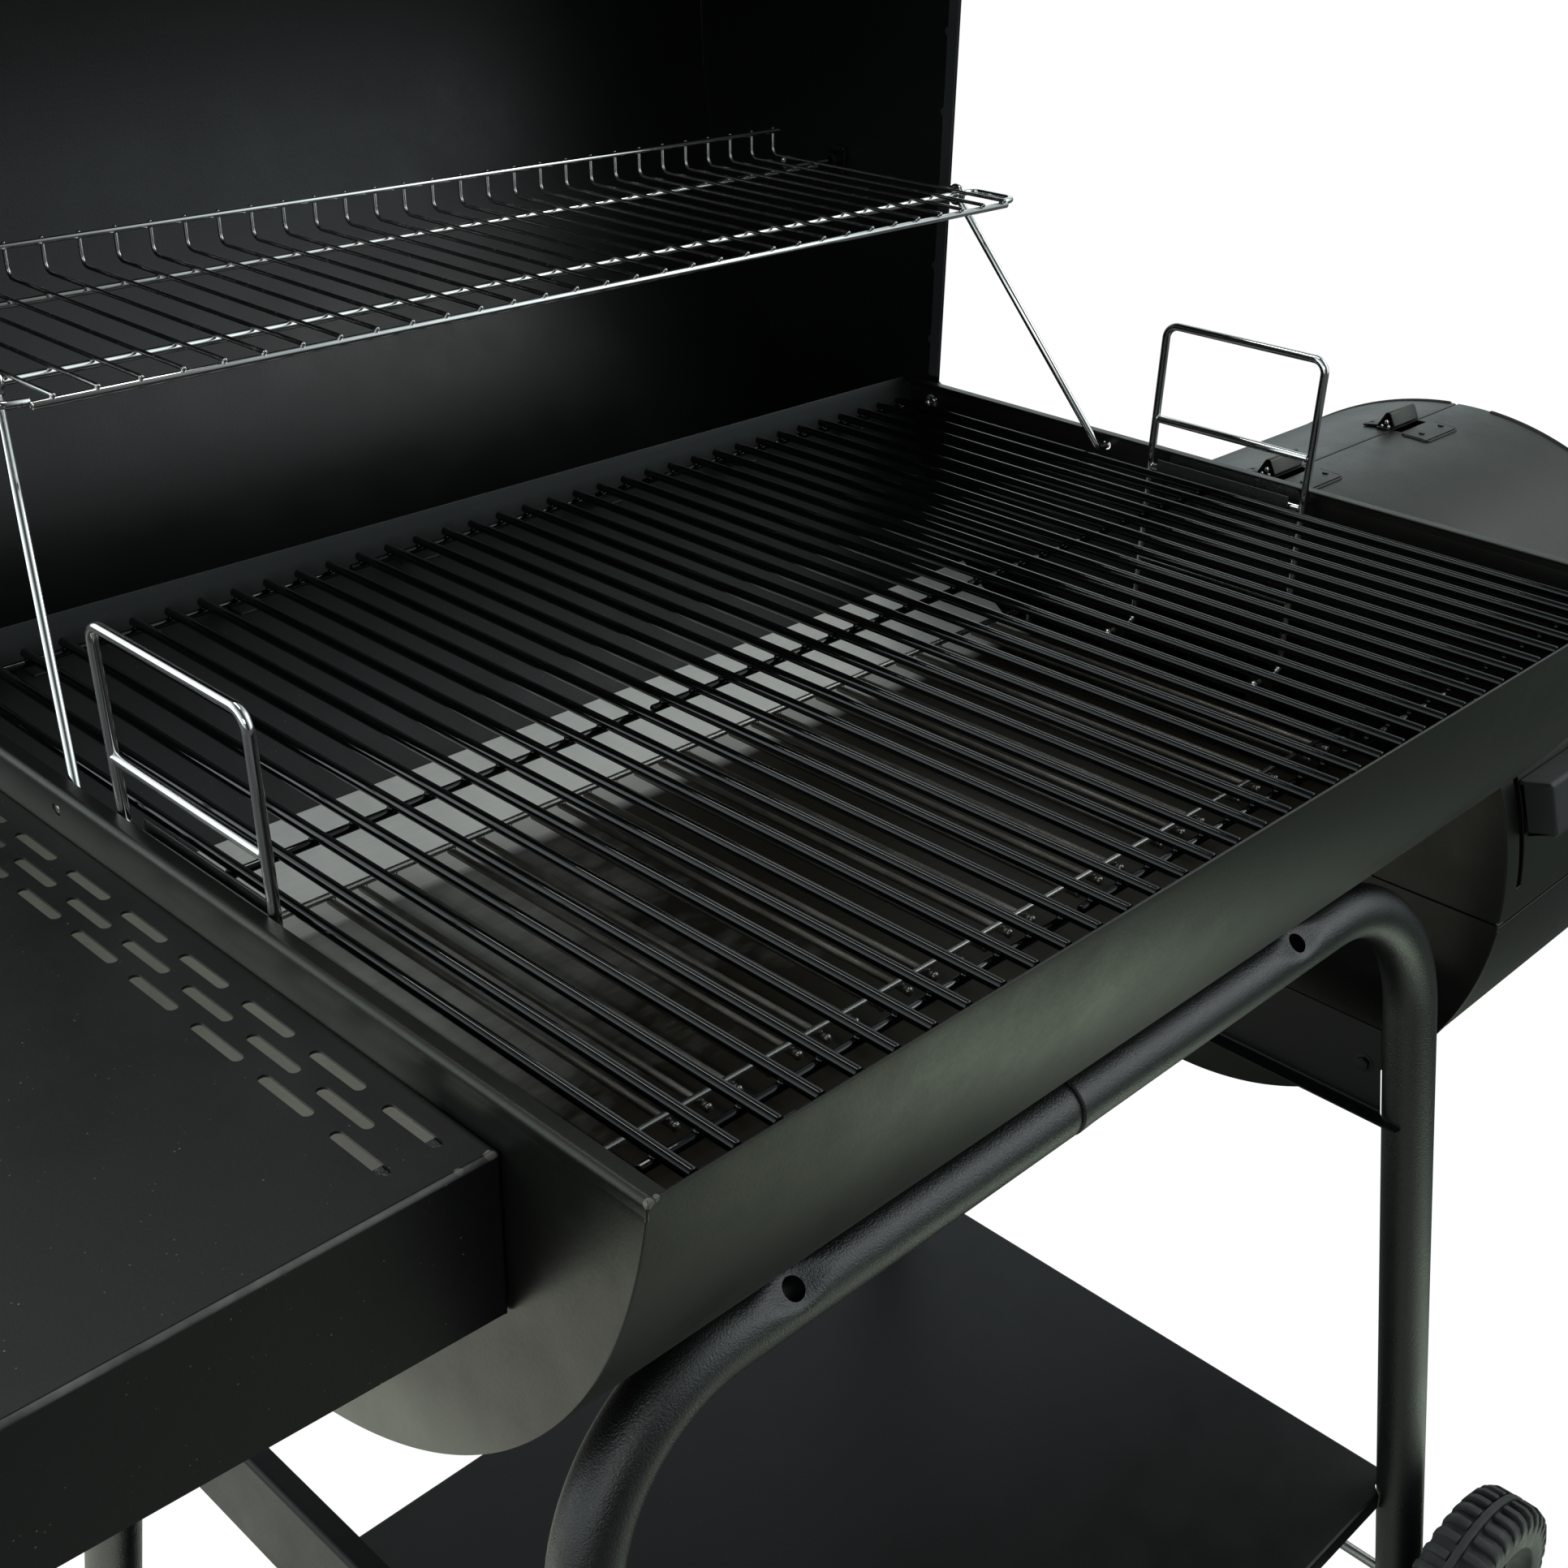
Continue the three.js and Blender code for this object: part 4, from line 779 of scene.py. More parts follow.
for name, flip in SIDES:
    g = Geo()
    out = section(0, 5.2)
    holes = [circle(AFY, AFZ, 2.8, 20), circle(HY, HZ, 4.4, 20)]
    if flip:
        holes.append(SMOKE)
    g.add(prism("X", out, *sspan(flip, 0.04, 1.34), holes=holes, bev=0.55))
    fl = strip(bent([(0.7, RIM - 7.5), (0.7, RIM - 0.65), (8.2, RIM - 0.65)], 2.4, 7), 1.3)
    if flip:
        fl = [(L - a, b) for a, b in fl]
    g.add(prism("Y", fl, 0.5, W - 0.5, bev=0.45))
    # weld bead where the plate meets the shell, inside
    bead = [(side(flip, 1.9), MID + (BA - 2.4) * math.cos(math.radians(a)), BZ + (BB - 2.4) * math.sin(math.radians(a))) for a in [190 + 2 * i for i in range(0, 81)]]
    g.add(tube(bead, 1.0, 8))
    piece("body_end_%s_detail" % name, g, M_BARREL, "frame", "body_end_" + name, weighted=True)

    # hanger that carries a rung of the tray handle
    g = Geo()
    h0, h1 = LADDER[name][0] + 7.4, LADDER[name][1] - 7.4
    floor_z = LADDER[name][3][1] - 2.7
    g.add(prism("X", rrect(h0, h1, RIM - 40, RIM - 2, 6, 6), *sspan(flip, 1.6, 2.8),
                holes=[circle(h0 + 20, RIM - 30, 2.2, 14), circle(h1 - 20, RIM - 30, 2.2, 14)], bev=0.35))
    j = strip(bent([(2.4, floor_z - 0.6), (15.2, floor_z - 0.6), (15.2, floor_z + (9 if flip else 6.9))], 2.6, 6), 1.2)
    if flip:
        j = [(L - a, b) for a, b in j]
    g.add(prism("Y", j, h0, h1, bev=0.35))
    piece("hanger_bracket_%s_detail" % name, g, M_LEG, "frame", "hanger_bracket_" + name, weighted=True)

    # lid pivot bolt
    g = Geo()
    s = -1 if not flip else 1
    for part in bolt_head((side(flip, -3.4), HY, HZ), (s, 0, 0), 6.0, 4.2):
        g.add(part)
    g.add(tube([(side(flip, -4), HY, HZ), (side(flip, 7.4), HY, HZ)], 2.7, 20, ("flat", "dome")))
    for part in bolt_head((side(flip, 1.7), HY, HZ), (-s, 0, 0), 3.6, 3.2):
        g.add(part)
    piece("lid_bolt_%s_detail" % name, g, M_CHROME, "frame", "lid_bolt_" + name)

# ------------------------------------------------------------------ cooking grates
GX0, GP = 25.99, 17.93
for gi, node in enumerate(("grate_left", "grate_center", "grate_right")):
    g = Geo()
    xs = [GX0 + GP * (gi * 12 + k) for k in range(12)]
    for x in xs:
        j = rng.uniform(-0.35, 0.35)
        z = RIM - 9.5
        mid = (x + j + rng.uniform(-0.3, 0.3), 250, z + rng.uniform(-0.25, 0.1))
        g.add(tube([(x + j, 8.8, z), mid, (x + j, 488, z)], 2.4, 14, ("flat", "flat"), 0.55))
        for y in (25.3, 257.4, 484.6):
            g.add(blob((x + j * 0.9, y, RIM - 11.7), (2.5, 2.2, 1.2), 10, 6))
    for y in (25.3, 257.4, 484.6):
        g.add(tube([(xs[0] - 7, y, RIM - 13.4), (xs[5], y, RIM - 13.4 + rng.uniform(-0.2, 0.2)), (xs[-1] + 7, y, RIM - 13.4)], 1.9, 12, ("flat", "flat"), 0.5))
    piece(node + "_bars", g, M_ENAMEL, "frame", node, angle=60)

# ------------------------------------------------------------------ charcoal tray, grate, handles
g = Geo()
pan = bent([(422.4, RIM - 100.1), (385, RIM - 127.6), (115, RIM - 127.6), (77.6, RIM - 100.1)], 2.4, 6)
g.add(prism("X", strip(pan, 1.0), 30, 650, bev=0.2))
for name, flip in SIDES:
    for y in LADDER[name][:2]:
        ear = [(y - 8, RIM - 127.4), (y + 8, RIM - 127.4)] + arc(y, RIM - 110, 8, 8, 0, 180, 12)
        g.add(prism("X", ear, *sspan(flip, 30, 31.2), holes=[circle(y, RIM - 110, 2.8, 16)], bev=0.25))
piece("charcoal_tray_sheet", g, M_PAN, "tray", "charcoal_tray", weighted=True)

g = Geo()
for k in range(35):
    x = 44.6 + 17.05 * k + rng.uniform(-0.3, 0.3)
    g.add(tube([(x, 128.5, RIM - 113.7), (x, 250, RIM - 113.7 + rng.uniform(-0.3, 0.1)), (x, 364.5, RIM - 113.7)], 1.9, 12, ("dome", "dome")), 0)
    g.add(blob((x, 129.6, RIM - 113.6), (2.5, 2.0, 2.3), 10, 6), 1)
    for y in (134.2, 361.5):
        g.add(blob((x, y, RIM - 111.8), (2.0, 1.9, 1.0), 8, 5), 1)
for y in (134.2, 361.5):
    p = bent([(36, y, RIM - 126.8), (36, y, RIM - 110), (643.5, y, RIM - 110), (643.5, y, RIM - 126.8)], 5, 6)
    g.add(tube(p, 1.8, 12), 1)
piece("charcoal_grate_bars", g, [M_COAL, M_BURNT], "tray", "charcoal_grate", angle=60)

for name, flip in SIDES:
    g = Geo()
    s = -1 if not flip else 1

    def lean(z):
        return side(flip, 11) + s * max(0.0, z - RIM) * 0.03

    ya, yb, top, rungs = LADDER[name]
    foot = RIM - 110
    toe = side(flip, 37)
    pts = [(toe, ya, foot), (side(flip, 11), ya, foot), (side(flip, 11), ya, RIM), (lean(top), ya, top), (lean(top), yb, top),
           (side(flip, 11), yb, RIM), (side(flip, 11), yb, foot), (toe, yb, foot)]
    g.add(tube(bent(pts, [6, 40, 7.5, 7.5, 40, 6], 10), 2.3, 18))
    for z in rungs:
        g.add(tube([(lean(z), ya + 0.6, z), (lean(z), yb - 0.6, z)], 2.3, 16, ("dome", "dome")))
        for y, e in ((ya, 1), (yb, -1)):
            g.add(blob((lean(z), y + e * 1.2, z), (2.3, 2.6, 2.55), 12, 8))
    for y in (ya, yb):
        g.add(blob((toe, y, foot), 3.2, 16, 10))
    piece("tray_handle_%s_wire" % name, g, M_LADDER, "tray", "tray_handle_" + name, angle=60)

# ------------------------------------------------------------------ warming rack and arms
g = Geo()
FENCE_Y = 581.5
for k in range(32):
    x = 49.5 + 18.755 * k
    z = RIM + 132.55
    p = bent([(x, 393.3, z), (x, FENCE_Y, z), (x, FENCE_Y + 0.4, RIM + 149.2)], 5, 6)
    g.add(tube(p, 1.05, 10, ("dome", "dome")))
    g.add(blob((x, 395.2, z - 0.3), (1.25, 1.9, 1.25), 8, 6), 1)
for y, x0, x1 in ((395.5, 40.7, 634.5), (545.6, 46.6, 633.6)):
    g.add(tube([(x0, y, AHZ), (x1, y, AHZ)], 1.8, 16), 1)
g.add(tube([(47, 579.3, RIM + 147.4), (633.4, 579.3, RIM + 147.4)], 1.5, 14), 1)
half = 339.75
g.add(tube(bent([(43, 401, AHZ), (29, 403.5, AHZ), (29, AHY, AHZ), (L - 29, AHY, AHZ), (L - 29, 403.5, AHZ), (L - 43, 401, AHZ)], 6, 8), 1.8, 16), 1)
for x0, x1 in ((49.5, 3), (49.5 + 18.755 * 31, L - 3)):
    g.add(tube(bent([(x0, RPY, RIM + 132.4), (x0, RPY, RPZ), (x1, RPY, RPZ)], 4, 6), 1.8, 14, ("dome", "flat")), 1)
piece("warming_rack_wires", g, [M_RACK, M_CHROME], "rack", "warming_rack", angle=60)

for name, flip in SIDES:
    g = Geo()
    foot = Vector((side(flip, 9.6), AFY, AFZ))
    eye = Vector((side(flip, 44.8), AHY, AHZ))
    d = (eye - foot).normalized()
    g.add(tube(bent([(side(flip, 0.4), AFY, AFZ), foot, eye - d * 4.6], 4, 8), 2.1, 16))
    loop = []
    for i in range(25):
        a = 2 * math.pi * i / 24
        loop.append((eye.x, eye.y + 4.4 * math.cos(a), eye.z + 4.4 * math.sin(a)))
    g.add(tube(loop, 1.8, 12, ("open", "open")))
    piece("rack_arm_%s_wire" % name, g, M_CHROME, "arm_" + name, "rack_arm_" + name, angle=60)

# ------------------------------------------------------------------ lid
def crown(deg, grow=0.0):
    t = math.radians(deg)
    return (MID + (LIDW + grow) * math.cos(t), RIM + LIDS + (LIDC + grow) * math.sin(t))


def on_crown(deg, out=0.0):
    t = math.radians(deg)
    n = Vector((0, math.cos(t) / LIDW, math.sin(t) / LIDC)).normalized()
    y, z = crown(deg)
    return Vector((0, y, z)) + n * out, n


front, back = MID - LIDW, MID + LIDW
path = [(front + 0.6, RIM - LIP), (front + 0.6, RIM)] + [crown(180 - 1.2 * i, -0.6) for i in range(151)] + [(back - 0.6, RIM + 30), (back - 0.6, RIM + 10)]
dial_p, dial_n = on_crown(125)
dial_at = Vector((L / 2, dial_p.y, dial_p.z))
shell = prism("X", strip(path, 1.2), -1.3, L + 1.3, bev=0.3)
shell = boolean(shell, [
    tube([(104.5, 250, RIM + 190), (104.5, 250, RIM + 230)], 33.4, 48, ("open", "open")),
    tube([dial_at - dial_n * 12, dial_at + dial_n * 12], 4.2, 20, ("open", "open")),
])
g = Geo().add(shell)
# rolled hem along the front edge of the lid
g.add(prism("X", strip(bent([(front + 1.4, RIM - LIP + 9), (front + 1.4, RIM - LIP + 0.4)], 0), 0.8), 2, L - 2, bev=0.2))
piece("lid_shell_detail", g, M_LID, "lid", "lid_shell", lid=True, weighted=True)

for name, flip in SIDES:
    g = Geo()
    out = [(front, RIM - LIP)] + [crown(180 - 1.2 * i) for i in range(151)] + [(back, RIM + 10), (488.5, RIM - 6.5)]
    out += arc(HY, HZ, 12, 12, 20, -150, 16)
    out += [(466, RIM - LIP)]
    g.add(prism("X", clean(out), *sspan(flip, -3.1, -1.6), holes=[circle(HY, HZ, 4.4, 20)], bev=0.45))
    # the end's free edge is folded back inside as a hem and spot welded
    # the hem and its spot welds take the lighter hem paint, a painted light
    g.add(prism("X", rrect(front + 1.6, 463, RIM - LIP + 0.3, RIM - LIP + 8.0, 0.6, 2), *sspan(flip, -1.65, -0.95), bev=0.25), 1)
    for i in range(10):
        g.add(lathe([(0, 2.5), (0.3, 2.3), (0.5, 1.5), (0.25, 0)], (side(flip, -1.6), front + 24 + 46.5 * i, RIM - LIP + 8.2), (1 if not flip else -1, 0, 0), 14), 1)
    piece("lid_end_%s_detail" % name, g, [M_LID, M_HEM_LIT], "lid", "lid_end_" + name, lid=True, weighted=True)

    g = Geo()
    py, pz = HY - (RPZ - HZ), HZ + (RPY - HY)
    plate = [(py - 9, pz - 8), (py + 9, pz - 8), (py + 9, pz + 4), (py + 5, pz + 8), (py - 5, pz + 8), (py - 9, pz + 4)]
    plate = bent([(*p, 0) for p in plate + plate[:2]], 1.6, 4)[1:-1]
    g.add(prism("X", clean([(p.x, p.y) for p in plate]), *sspan(flip, -1.3, 0.2), holes=[circle(py, pz, 2.8, 16)], bev=0.3))
    a0, a1 = sspan(flip, -1.3, 6.2)
    g.add(ring_lathe([(0, 2.8), (0, 5.4), (0.5, 5.6), (a1 - a0 - 0.6, 5.6), (a1 - a0, 5.1), (a1 - a0, 2.8)], (a0, py, pz), (1, 0, 0), 28))
    for e in (-7, 7):
        g.add(lathe([(0, 0), (0, 1.5), (0.7, 1.3), (1.1, 0.6), (1.2, 0)], (side(flip, 0.2), py + e, pz - 5.6), (1 if not flip else -1, 0, 0), 16))
    piece("rack_hanger_%s_detail" % name, g, M_LID, "lid", "rack_hanger_" + name, lid=True)

# lid handle
g = Geo()
a, n = on_crown(152, 1.4)
b, _ = on_crown(152, 46)
xs = (190, L - 190)
g.add(tube(bent([(xs[0], a.y, a.z), (xs[0], b.y, b.z), (xs[1], b.y, b.z), (xs[1], a.y, a.z)], 24, 10), 7.92, 28, ("flat", "flat")))
for x in xs:
    g.add(lathe([(0, 0), (0, 15), (0.6, 16), (1.8, 16), (2.6, 14.6), (4.4, 9.6), (7, 8.2), (7, 0)], (x, a.y, a.z), n, 40))
    for e in (-12.2, 12.2):
        for part in bolt_head(Vector((x + e, a.y, a.z)) + n * 2.2, n, 2.3, 1.8, washer=False):
            g.add(part)
piece("lid_handle_tube", g, M_LEG, "lid", "lid_handle", lid=True)

# thermometer
g = Geo()
g.add(lathe([(-68, 0), (-67, 2.2), (-65, 2.6), (0.8, 2.6), (0.8, 13), (3, 22), (5.5, 31), (5.9, 38.2), (6.6, 39), (15.6, 39), (16.4, 38.4), (16.5, 36.2), (15.9, 35.6), (13.6, 35.2), (13.4, 34)], dial_at, dial_n, 64), 0)
g.add(lathe([(13.2, 34.4), (13.5, 34), (13.5, 0)], dial_at, dial_n, 64), 1)
u = Vector((1, 0, 0))
v = dial_n.cross(u).normalized() * -1
for i in range(31):
    ang = math.radians(225 - 270 * i / 30)
    r0, r1 = (25.5, 31.5) if i % 5 == 0 else (28.5, 31.5)
    dr = u * math.cos(ang) + v * math.sin(ang)
    g.add(tube([dial_at + dial_n * 13.55 + dr * r0, dial_at + dial_n * 13.55 + dr * r1], 0.5 if i % 5 == 0 else 0.3, 6), 2)
ang = math.radians(225 - 60)
dr = u * math.cos(ang) + v * math.sin(ang)
g.add(tube([dial_at + dial_n * 14.4 - dr * 7, dial_at + dial_n * 14.4 + dr * 24], 0.8, 8, ("dome", "dome"), radii=[1.2, 0.5]), 3)
g.add(lathe([(13.4, 0), (13.4, 3.4), (15.2, 3), (15.6, 0)], dial_at, dial_n, 24), 0)
piece("thermometer_dial", g, [M_CHROME, M_DIAL, M_MARK, M_NEEDLE], "lid", "thermometer", lid=True)

# chimney and its cap
top = RIM + LIDS + LIDC
g = Geo()
g.add(ring_lathe([(0.5, 33.6), (0.5, 48), (0.9, 49), (1.8, 49), (2.6, 47.6), (3.2, 39), (5, 36.2), (8, 35), (147.5, 35), (149.2, 35.6), (150, 35.2), (150, 33.9), (148.6, 33.6)], (104.5, 250, top), (0, 0, 1), 72))
for i in range(4):
    t = math.radians(45 + 90 * i)
    for part in bolt_head((104.5 + 42.5 * math.cos(t), 250 + 42.5 * math.sin(t), top + 2.9), (0, 0, 1), 2.6, 2.2):
        g.add(part)
px = 104.5 + 38.6
g.add(lathe([(0, 0), (0, 3.4), (1, 4.4), (21, 4.4), (21.8, 3.8), (21.8, 2), (28, 2), (29, 1.4), (29, 0)], (px, 250, top + 128), (0, 0, 1), 24))
piece("chimney_tube", g, M_BARREL, "lid", "chimney", lid=True)
g = Geo()
cap = prism("Z", clean(arc(104.5, 250, 37, 37, 12, 348, 60) + arc(px, 250, 7, 7, -70, 70, 12)), top + 150.5, top + 152.2, holes=[circle(px, 250, 2.6, 16)], bev=0.4)
g.add(cap)
g.add(lathe([(0, 33), (0.9, 33.6), (1.6, 31), (3, 24), (3.4, 0)], (104.5, 250, top + 151.6), (0, 0, 1), 60))
g.add(tube(bent([(104.5 - 23, 250, top + 153.6), (104.5 - 40, 250, top + 154.4), (104.5 - 53, 250, top + 154.4)], 8, 6), 2.2, 16, ("dome", "dome")))
g.add(blob((104.5 - 51, 250, top + 154.4), (4.2, 2.9, 2.7), 18, 10))
piece("chimney_cap_disc", g, M_BARREL, "chimney_cap", "chimney_cap", lid=True)

# ------------------------------------------------------------------ firebox
def f_arc(a0, a1, n, r=FR):
    return arc(FY, FZ, r, r, a0, a1, n)


g = Geo()
g.add(prism("X", strip(f_arc(182.7, 446.5, 180, FR - 0.75), 1.5), FX0 + 1.2, FX1 - 1.2, bev=0.3))
for x, r in ((FX0 + 1.2, 1.2), (FX1 - 1.7, 1.7)):
    g.add(tube([(x, *p) for p in f_arc(183.2, 445.6, 150, FR - 0.5)], r, 10, ("dome", "dome")))
piece("firebox_shell_detail", g, M_BARREL, "frame", "firebox_shell", weighted=True)

fixed = f_arc(182.4, 446.0, 200, FR - 0.1) + [(263.4, FZ + FR - 3.2), (246.2, FZ + FR - 3.2), (132.9, FZ - 8.4)]
g = Geo()
g.add(prism("X", clean(fixed), FX0 + 0.05, FX0 + 1.5, holes=[SMOKE], bev=0.4))
piece("firebox_end_left_detail", g, M_BARREL, "frame", "firebox_end_left", weighted=True)
VY, VZ = 250, FZ - 80
holes = [circle(VY, VZ, 3.4, 16)] + [circle(VY + 26 * math.cos(math.radians(a)), VZ + 26 * math.sin(math.radians(a)), 12, 32) for a in (90, 210, 330)]
g = Geo()
g.add(prism("X", clean(fixed), FX1 - 1.5, FX1 - 0.05, holes=holes, bev=0.4))
piece("firebox_end_right_detail", g, M_BARREL, "frame", "firebox_end_right", weighted=True)

g = Geo()
g.add(prism("X", circle(VY, VZ, 46, 72), FX1 + 0.5, FX1 + 2, holes=[circle(VY + 26 * math.cos(math.radians(a)), VZ + 26 * math.sin(math.radians(a)), 11, 32) for a in (90, 210, 330)], bev=0.35))
g.add(lathe([(-6, 0), (-6, 2.8), (1.2, 2.8), (1.2, 6.2), (2.4, 6), (3.8, 4.4), (4.5, 0)], (FX1, VY, VZ), (1, 0, 0), 28))
g.add(lathe([(0.8, 3.2), (6, 3.2), (8, 5), (12.4, 5), (13.6, 4.2), (14, 0)], (FX1, VY, VZ - 38), (1, 0, 0), 28))
piece("vent_disc_detail", g, M_ZINC, "vent", "vent_disc", weighted=True)

# lid of the firebox: a narrow pressed groove runs round it just inside the left end
LOOPS = ((741, 772), (884, 915))
GR0, GR1 = 711.5, 717.0
g = Geo()
g.add(prism("X", strip(f_arc(86.8, 182.2, 90, FR - 0.75), 1.5), FX0, GR0, bev=0.45))
g.add(prism("X", strip(f_arc(176.6, 182.2, 8, FR - 0.75), 1.5), GR0 - 0.4, GR1 + 0.4, bev=0.2))
skin = prism("X", strip(f_arc(86.8, 182.2, 90, FR - 0.75), 1.5), GR1, FX1, bev=0.45)
skin = boolean(skin, [box(x0 - 1, x1 + 1, 254.5, 264, FZ + FR - 6, FZ + FR + 3, 0.1) for x0, x1 in LOOPS])
g.add(skin)
g.add(prism("X", strip(f_arc(88.0, 177.2, 90, FR - 4.2), 0.8), GR0 - 1.2, GR1 + 1.2, bev=0.2))
for x in (GR0 - 0.6, GR1 + 0.6):
    g.add(prism("X", strip(f_arc(88.0, 177.0, 90, FR - 2.6), 3.4), x - 0.5, x + 0.5, bev=0.2))
lid_end = f_arc(93.2, 182.1, 90, FR - 0.1) + [(132, FZ - 7.6), (238.5, FZ + FR - 2.7)]
for x0 in (FX0 + 0.05, FX1 - 1.55):
    g.add(prism("X", clean(lid_end), x0, x0 + 1.5, bev=0.4))
g.add(tube([(FX1 - 1.7, *p) for p in f_arc(93.6, 181.8, 70, FR - 0.5)], 1.7, 10, ("dome", "dome")))
# folded edge along the bottom of the lid
g.add(tube([(FX0 + 1.5, *f_arc(182.0, 183, 1, FR - 0.9)[0]), (FX1 - 1.5, *f_arc(182.0, 183, 1, FR - 0.9)[0])], 0.95, 10, ("dome", "dome")))
for x0, x1 in LOOPS:
    # leaf of the hinge with its pressed outline, riveted to the lid
    leaf = f_arc(89.6, 94.6, 8, FR + 1.2) + f_arc(94.6, 89.6, 8, FR - 0.4)
    g.add(prism("X", clean(leaf), x0 - 6.5, x1 + 2.0, bev=0.5))
    (y, z) = f_arc(94.9, 95, 1, FR + 0.3)[0]
    (ya_, za_) = f_arc(90.2, 91, 1, FR + 0.3)[0]
    g.add(tube(bent([(x0 - 7.4, ya_, za_), (x0 - 7.4, y, z), (x1 + 2.9, y, z), (x1 + 2.9, ya_, za_)], 4, 5), 0.8, 8))
    for xb in (x0 + 3, x1 - 3):
        (y, z) = f_arc(92.2, 93, 1, FR + 1.2)[0]
        nn = Vector((0, y - FY, z - FZ)).normalized()
        for part in bolt_head((xb, y, z), nn, 1.9, 0.9, washer=False):
            g.add(part)
    # knuckle on the pin
    g.add(ring_lathe([(0, 2.3), (0, 3.2), (0.3, 3.4), (8.7, 3.4), (9, 3.2), (9, 2.3)], ((x0 + x1) / 2 - 4.5, FHY, FHZ), (1, 0, 0), 24))
piece("firebox_lid_detail", g, M_BARREL, "firebox_lid", "firebox_lid", weighted=True)

for i, (x0, x1) in enumerate(LOOPS):
    g = Geo()
    # sheet folded to a three-cornered loop over the pin
    loop = [(FHY - 6.0, FHZ - 3.0), (FHY, FHZ + 8.2), (FHY + 6.2, FHZ - 3.3)]
    tri = bent([(FHY + 1.5, FHZ - 3.2), loop[0], loop[1], loop[2], (FHY + 10, FHZ - 3.9), (FHY + 13, FHZ - 4.3)], [1.2, 1.9, 1.4, 3], 5)
    g.add(prism("X", clean(strip(tri, 1.1)), x0, x1, bev=0.3))
    leaf = f_arc(83.4, 80.6, 6, FR + 1.7) + f_arc(80.6, 83.4, 6, FR + 0.4)
    g.add(prism("X", clean(leaf), x0, x1, bev=0.4))
    g.add(tube([(x0 - 1, FHY, FHZ), (x1 + 1, FHY, FHZ)], 1.9, 14, ("dome", "dome")), 1)
    for xb, e in ((x0 - 0.6, -1), (x1 + 0.6, 1)):
        g.add(blob((xb, FHY - 2.2, FHZ - 2.6), (1.0, 1.3, 1.3), 10, 8), 1)
        g.add(blob((xb, FHY + 2.4, FHZ - 2.7), (1.0, 1.2, 1.2), 10, 8), 1)
        g.add(box(min(xb, xb + e * 3.2), max(xb, xb + e * 3.2), FHY - 3.4, FHY + 5, FHZ - 4.0, FHZ - 3.1, 0.25))
    for xb in (x0 + 6, x1 - 6):
        (y, z) = f_arc(81.6, 82, 1, FR + 1.7)[0]
        nn = Vector((0, y - FY, z - FZ)).normalized()
        for part in bolt_head((xb, y, z), nn, 1.3, 0.7, washer=False):
            g.add(part)
    node = "firebox_hinge_right" if i else "firebox_hinge_left"
    piece(node + "_detail", g, [M_BARREL, M_CHROME], "frame", node)

g = Geo()
hp = f_arc(158, 167.6, 6, FR + 0.6) + f_arc(167.2, 158.6, 6, FR + 20)
hp3 = bent([(*p, 0) for p in [hp[0], hp[6], hp[7], hp[-1], hp[0], hp[6]]], [0.01, 3, 3, 0.01], 6)[1:-1]
g.add(prism("X", clean([(p.x, p.y) for p in hp3]), 717, 952, bev=2.2))
piece("firebox_handle_block", g, M_PLASTIC, "firebox_lid", "firebox_handle", weighted=True)

g = Geo()
for k in range(10):
    y = 250 - 144 + 32 * k
    g.add(tube([(707, y, FZ - 85), (962, y, FZ - 85)], 2.7, 12))
for x in (742, 927):
    g.add(tube([(x, 81, FZ - 90), (x, 419, FZ - 90)], 2.9, 12))
piece("fire_grate_bars", g, M_COAL, "frame", "fire_grate", angle=60)

g = Geo()
grow = lambda s: rrect(210 - s, 308 + s, RIM - 160 - s, RIM - 101 + s, 18 + s, 8)
g.add(prism("X", grow(5), L + 0.3, FX0 - 0.3, holes=[grow(1)], bev=0.5))
g.add(prism("X", grow(4.6), L + 2.4, L + 4, holes=[grow(1.4)], bev=0.3))
piece("smoke_collar_detail", g, M_BARREL, "frame", "smoke_collar")

# ------------------------------------------------------------------ side table
TX0, TX1, TY0, TY1 = -382.0, -0.3, 66.0, 434.0


def slot_loop(x, y):
    return arc(x, y + 12.1, 2.2, 2.2, 0, 180, 8) + arc(x, y - 12.1, 2.2, 2.2, 180, 360, 8)


slots = []
for k in range(9):
    slots.append(slot_loop(-12.1, 94.6 + 40.15 * k))
    slots.append(slot_loop(-31.4, 94.6 + 40.15 * k))
    if k < 8:
        slots.append(slot_loop(-21.7, 116.6 + 40.15 * k))
g = Geo()
R_ = 1.7
g.add(prism("Z", [(TX0 + R_, TY0 + R_), (TX1 - R_, TY0 + R_), (TX1 - R_, TY1 - R_), (TX0 + R_, TY1 - R_)], TZ - 1.2, TZ, holes=slots, bev=0.12))


def drop(x):
    return TZ - 45 - 19 * (x - TX0) / (TX1 - TX0)


def apron(y, s):
    """The outer profile of a front or back apron's rounded fold into the top; the hem at the bottom is added by the
    loop that uses it.
    """
    verts, faces = [], []
    n = 8
    prof = []
    for i in range(n + 1):
        a = math.radians(90 - 90 * i / n)
        prof.append((R_ * (1 - math.cos(a)), R_ * (math.sin(a) - 1)))
    outer = [(s * (R_ + 0.4), 0.0)] + [(s * (R_ - R_ * math.cos(math.radians(90 - 90 * i / n))), R_ * math.sin(math.radians(90 - 90 * i / n)) - R_) for i in range(n + 1)]
    return outer


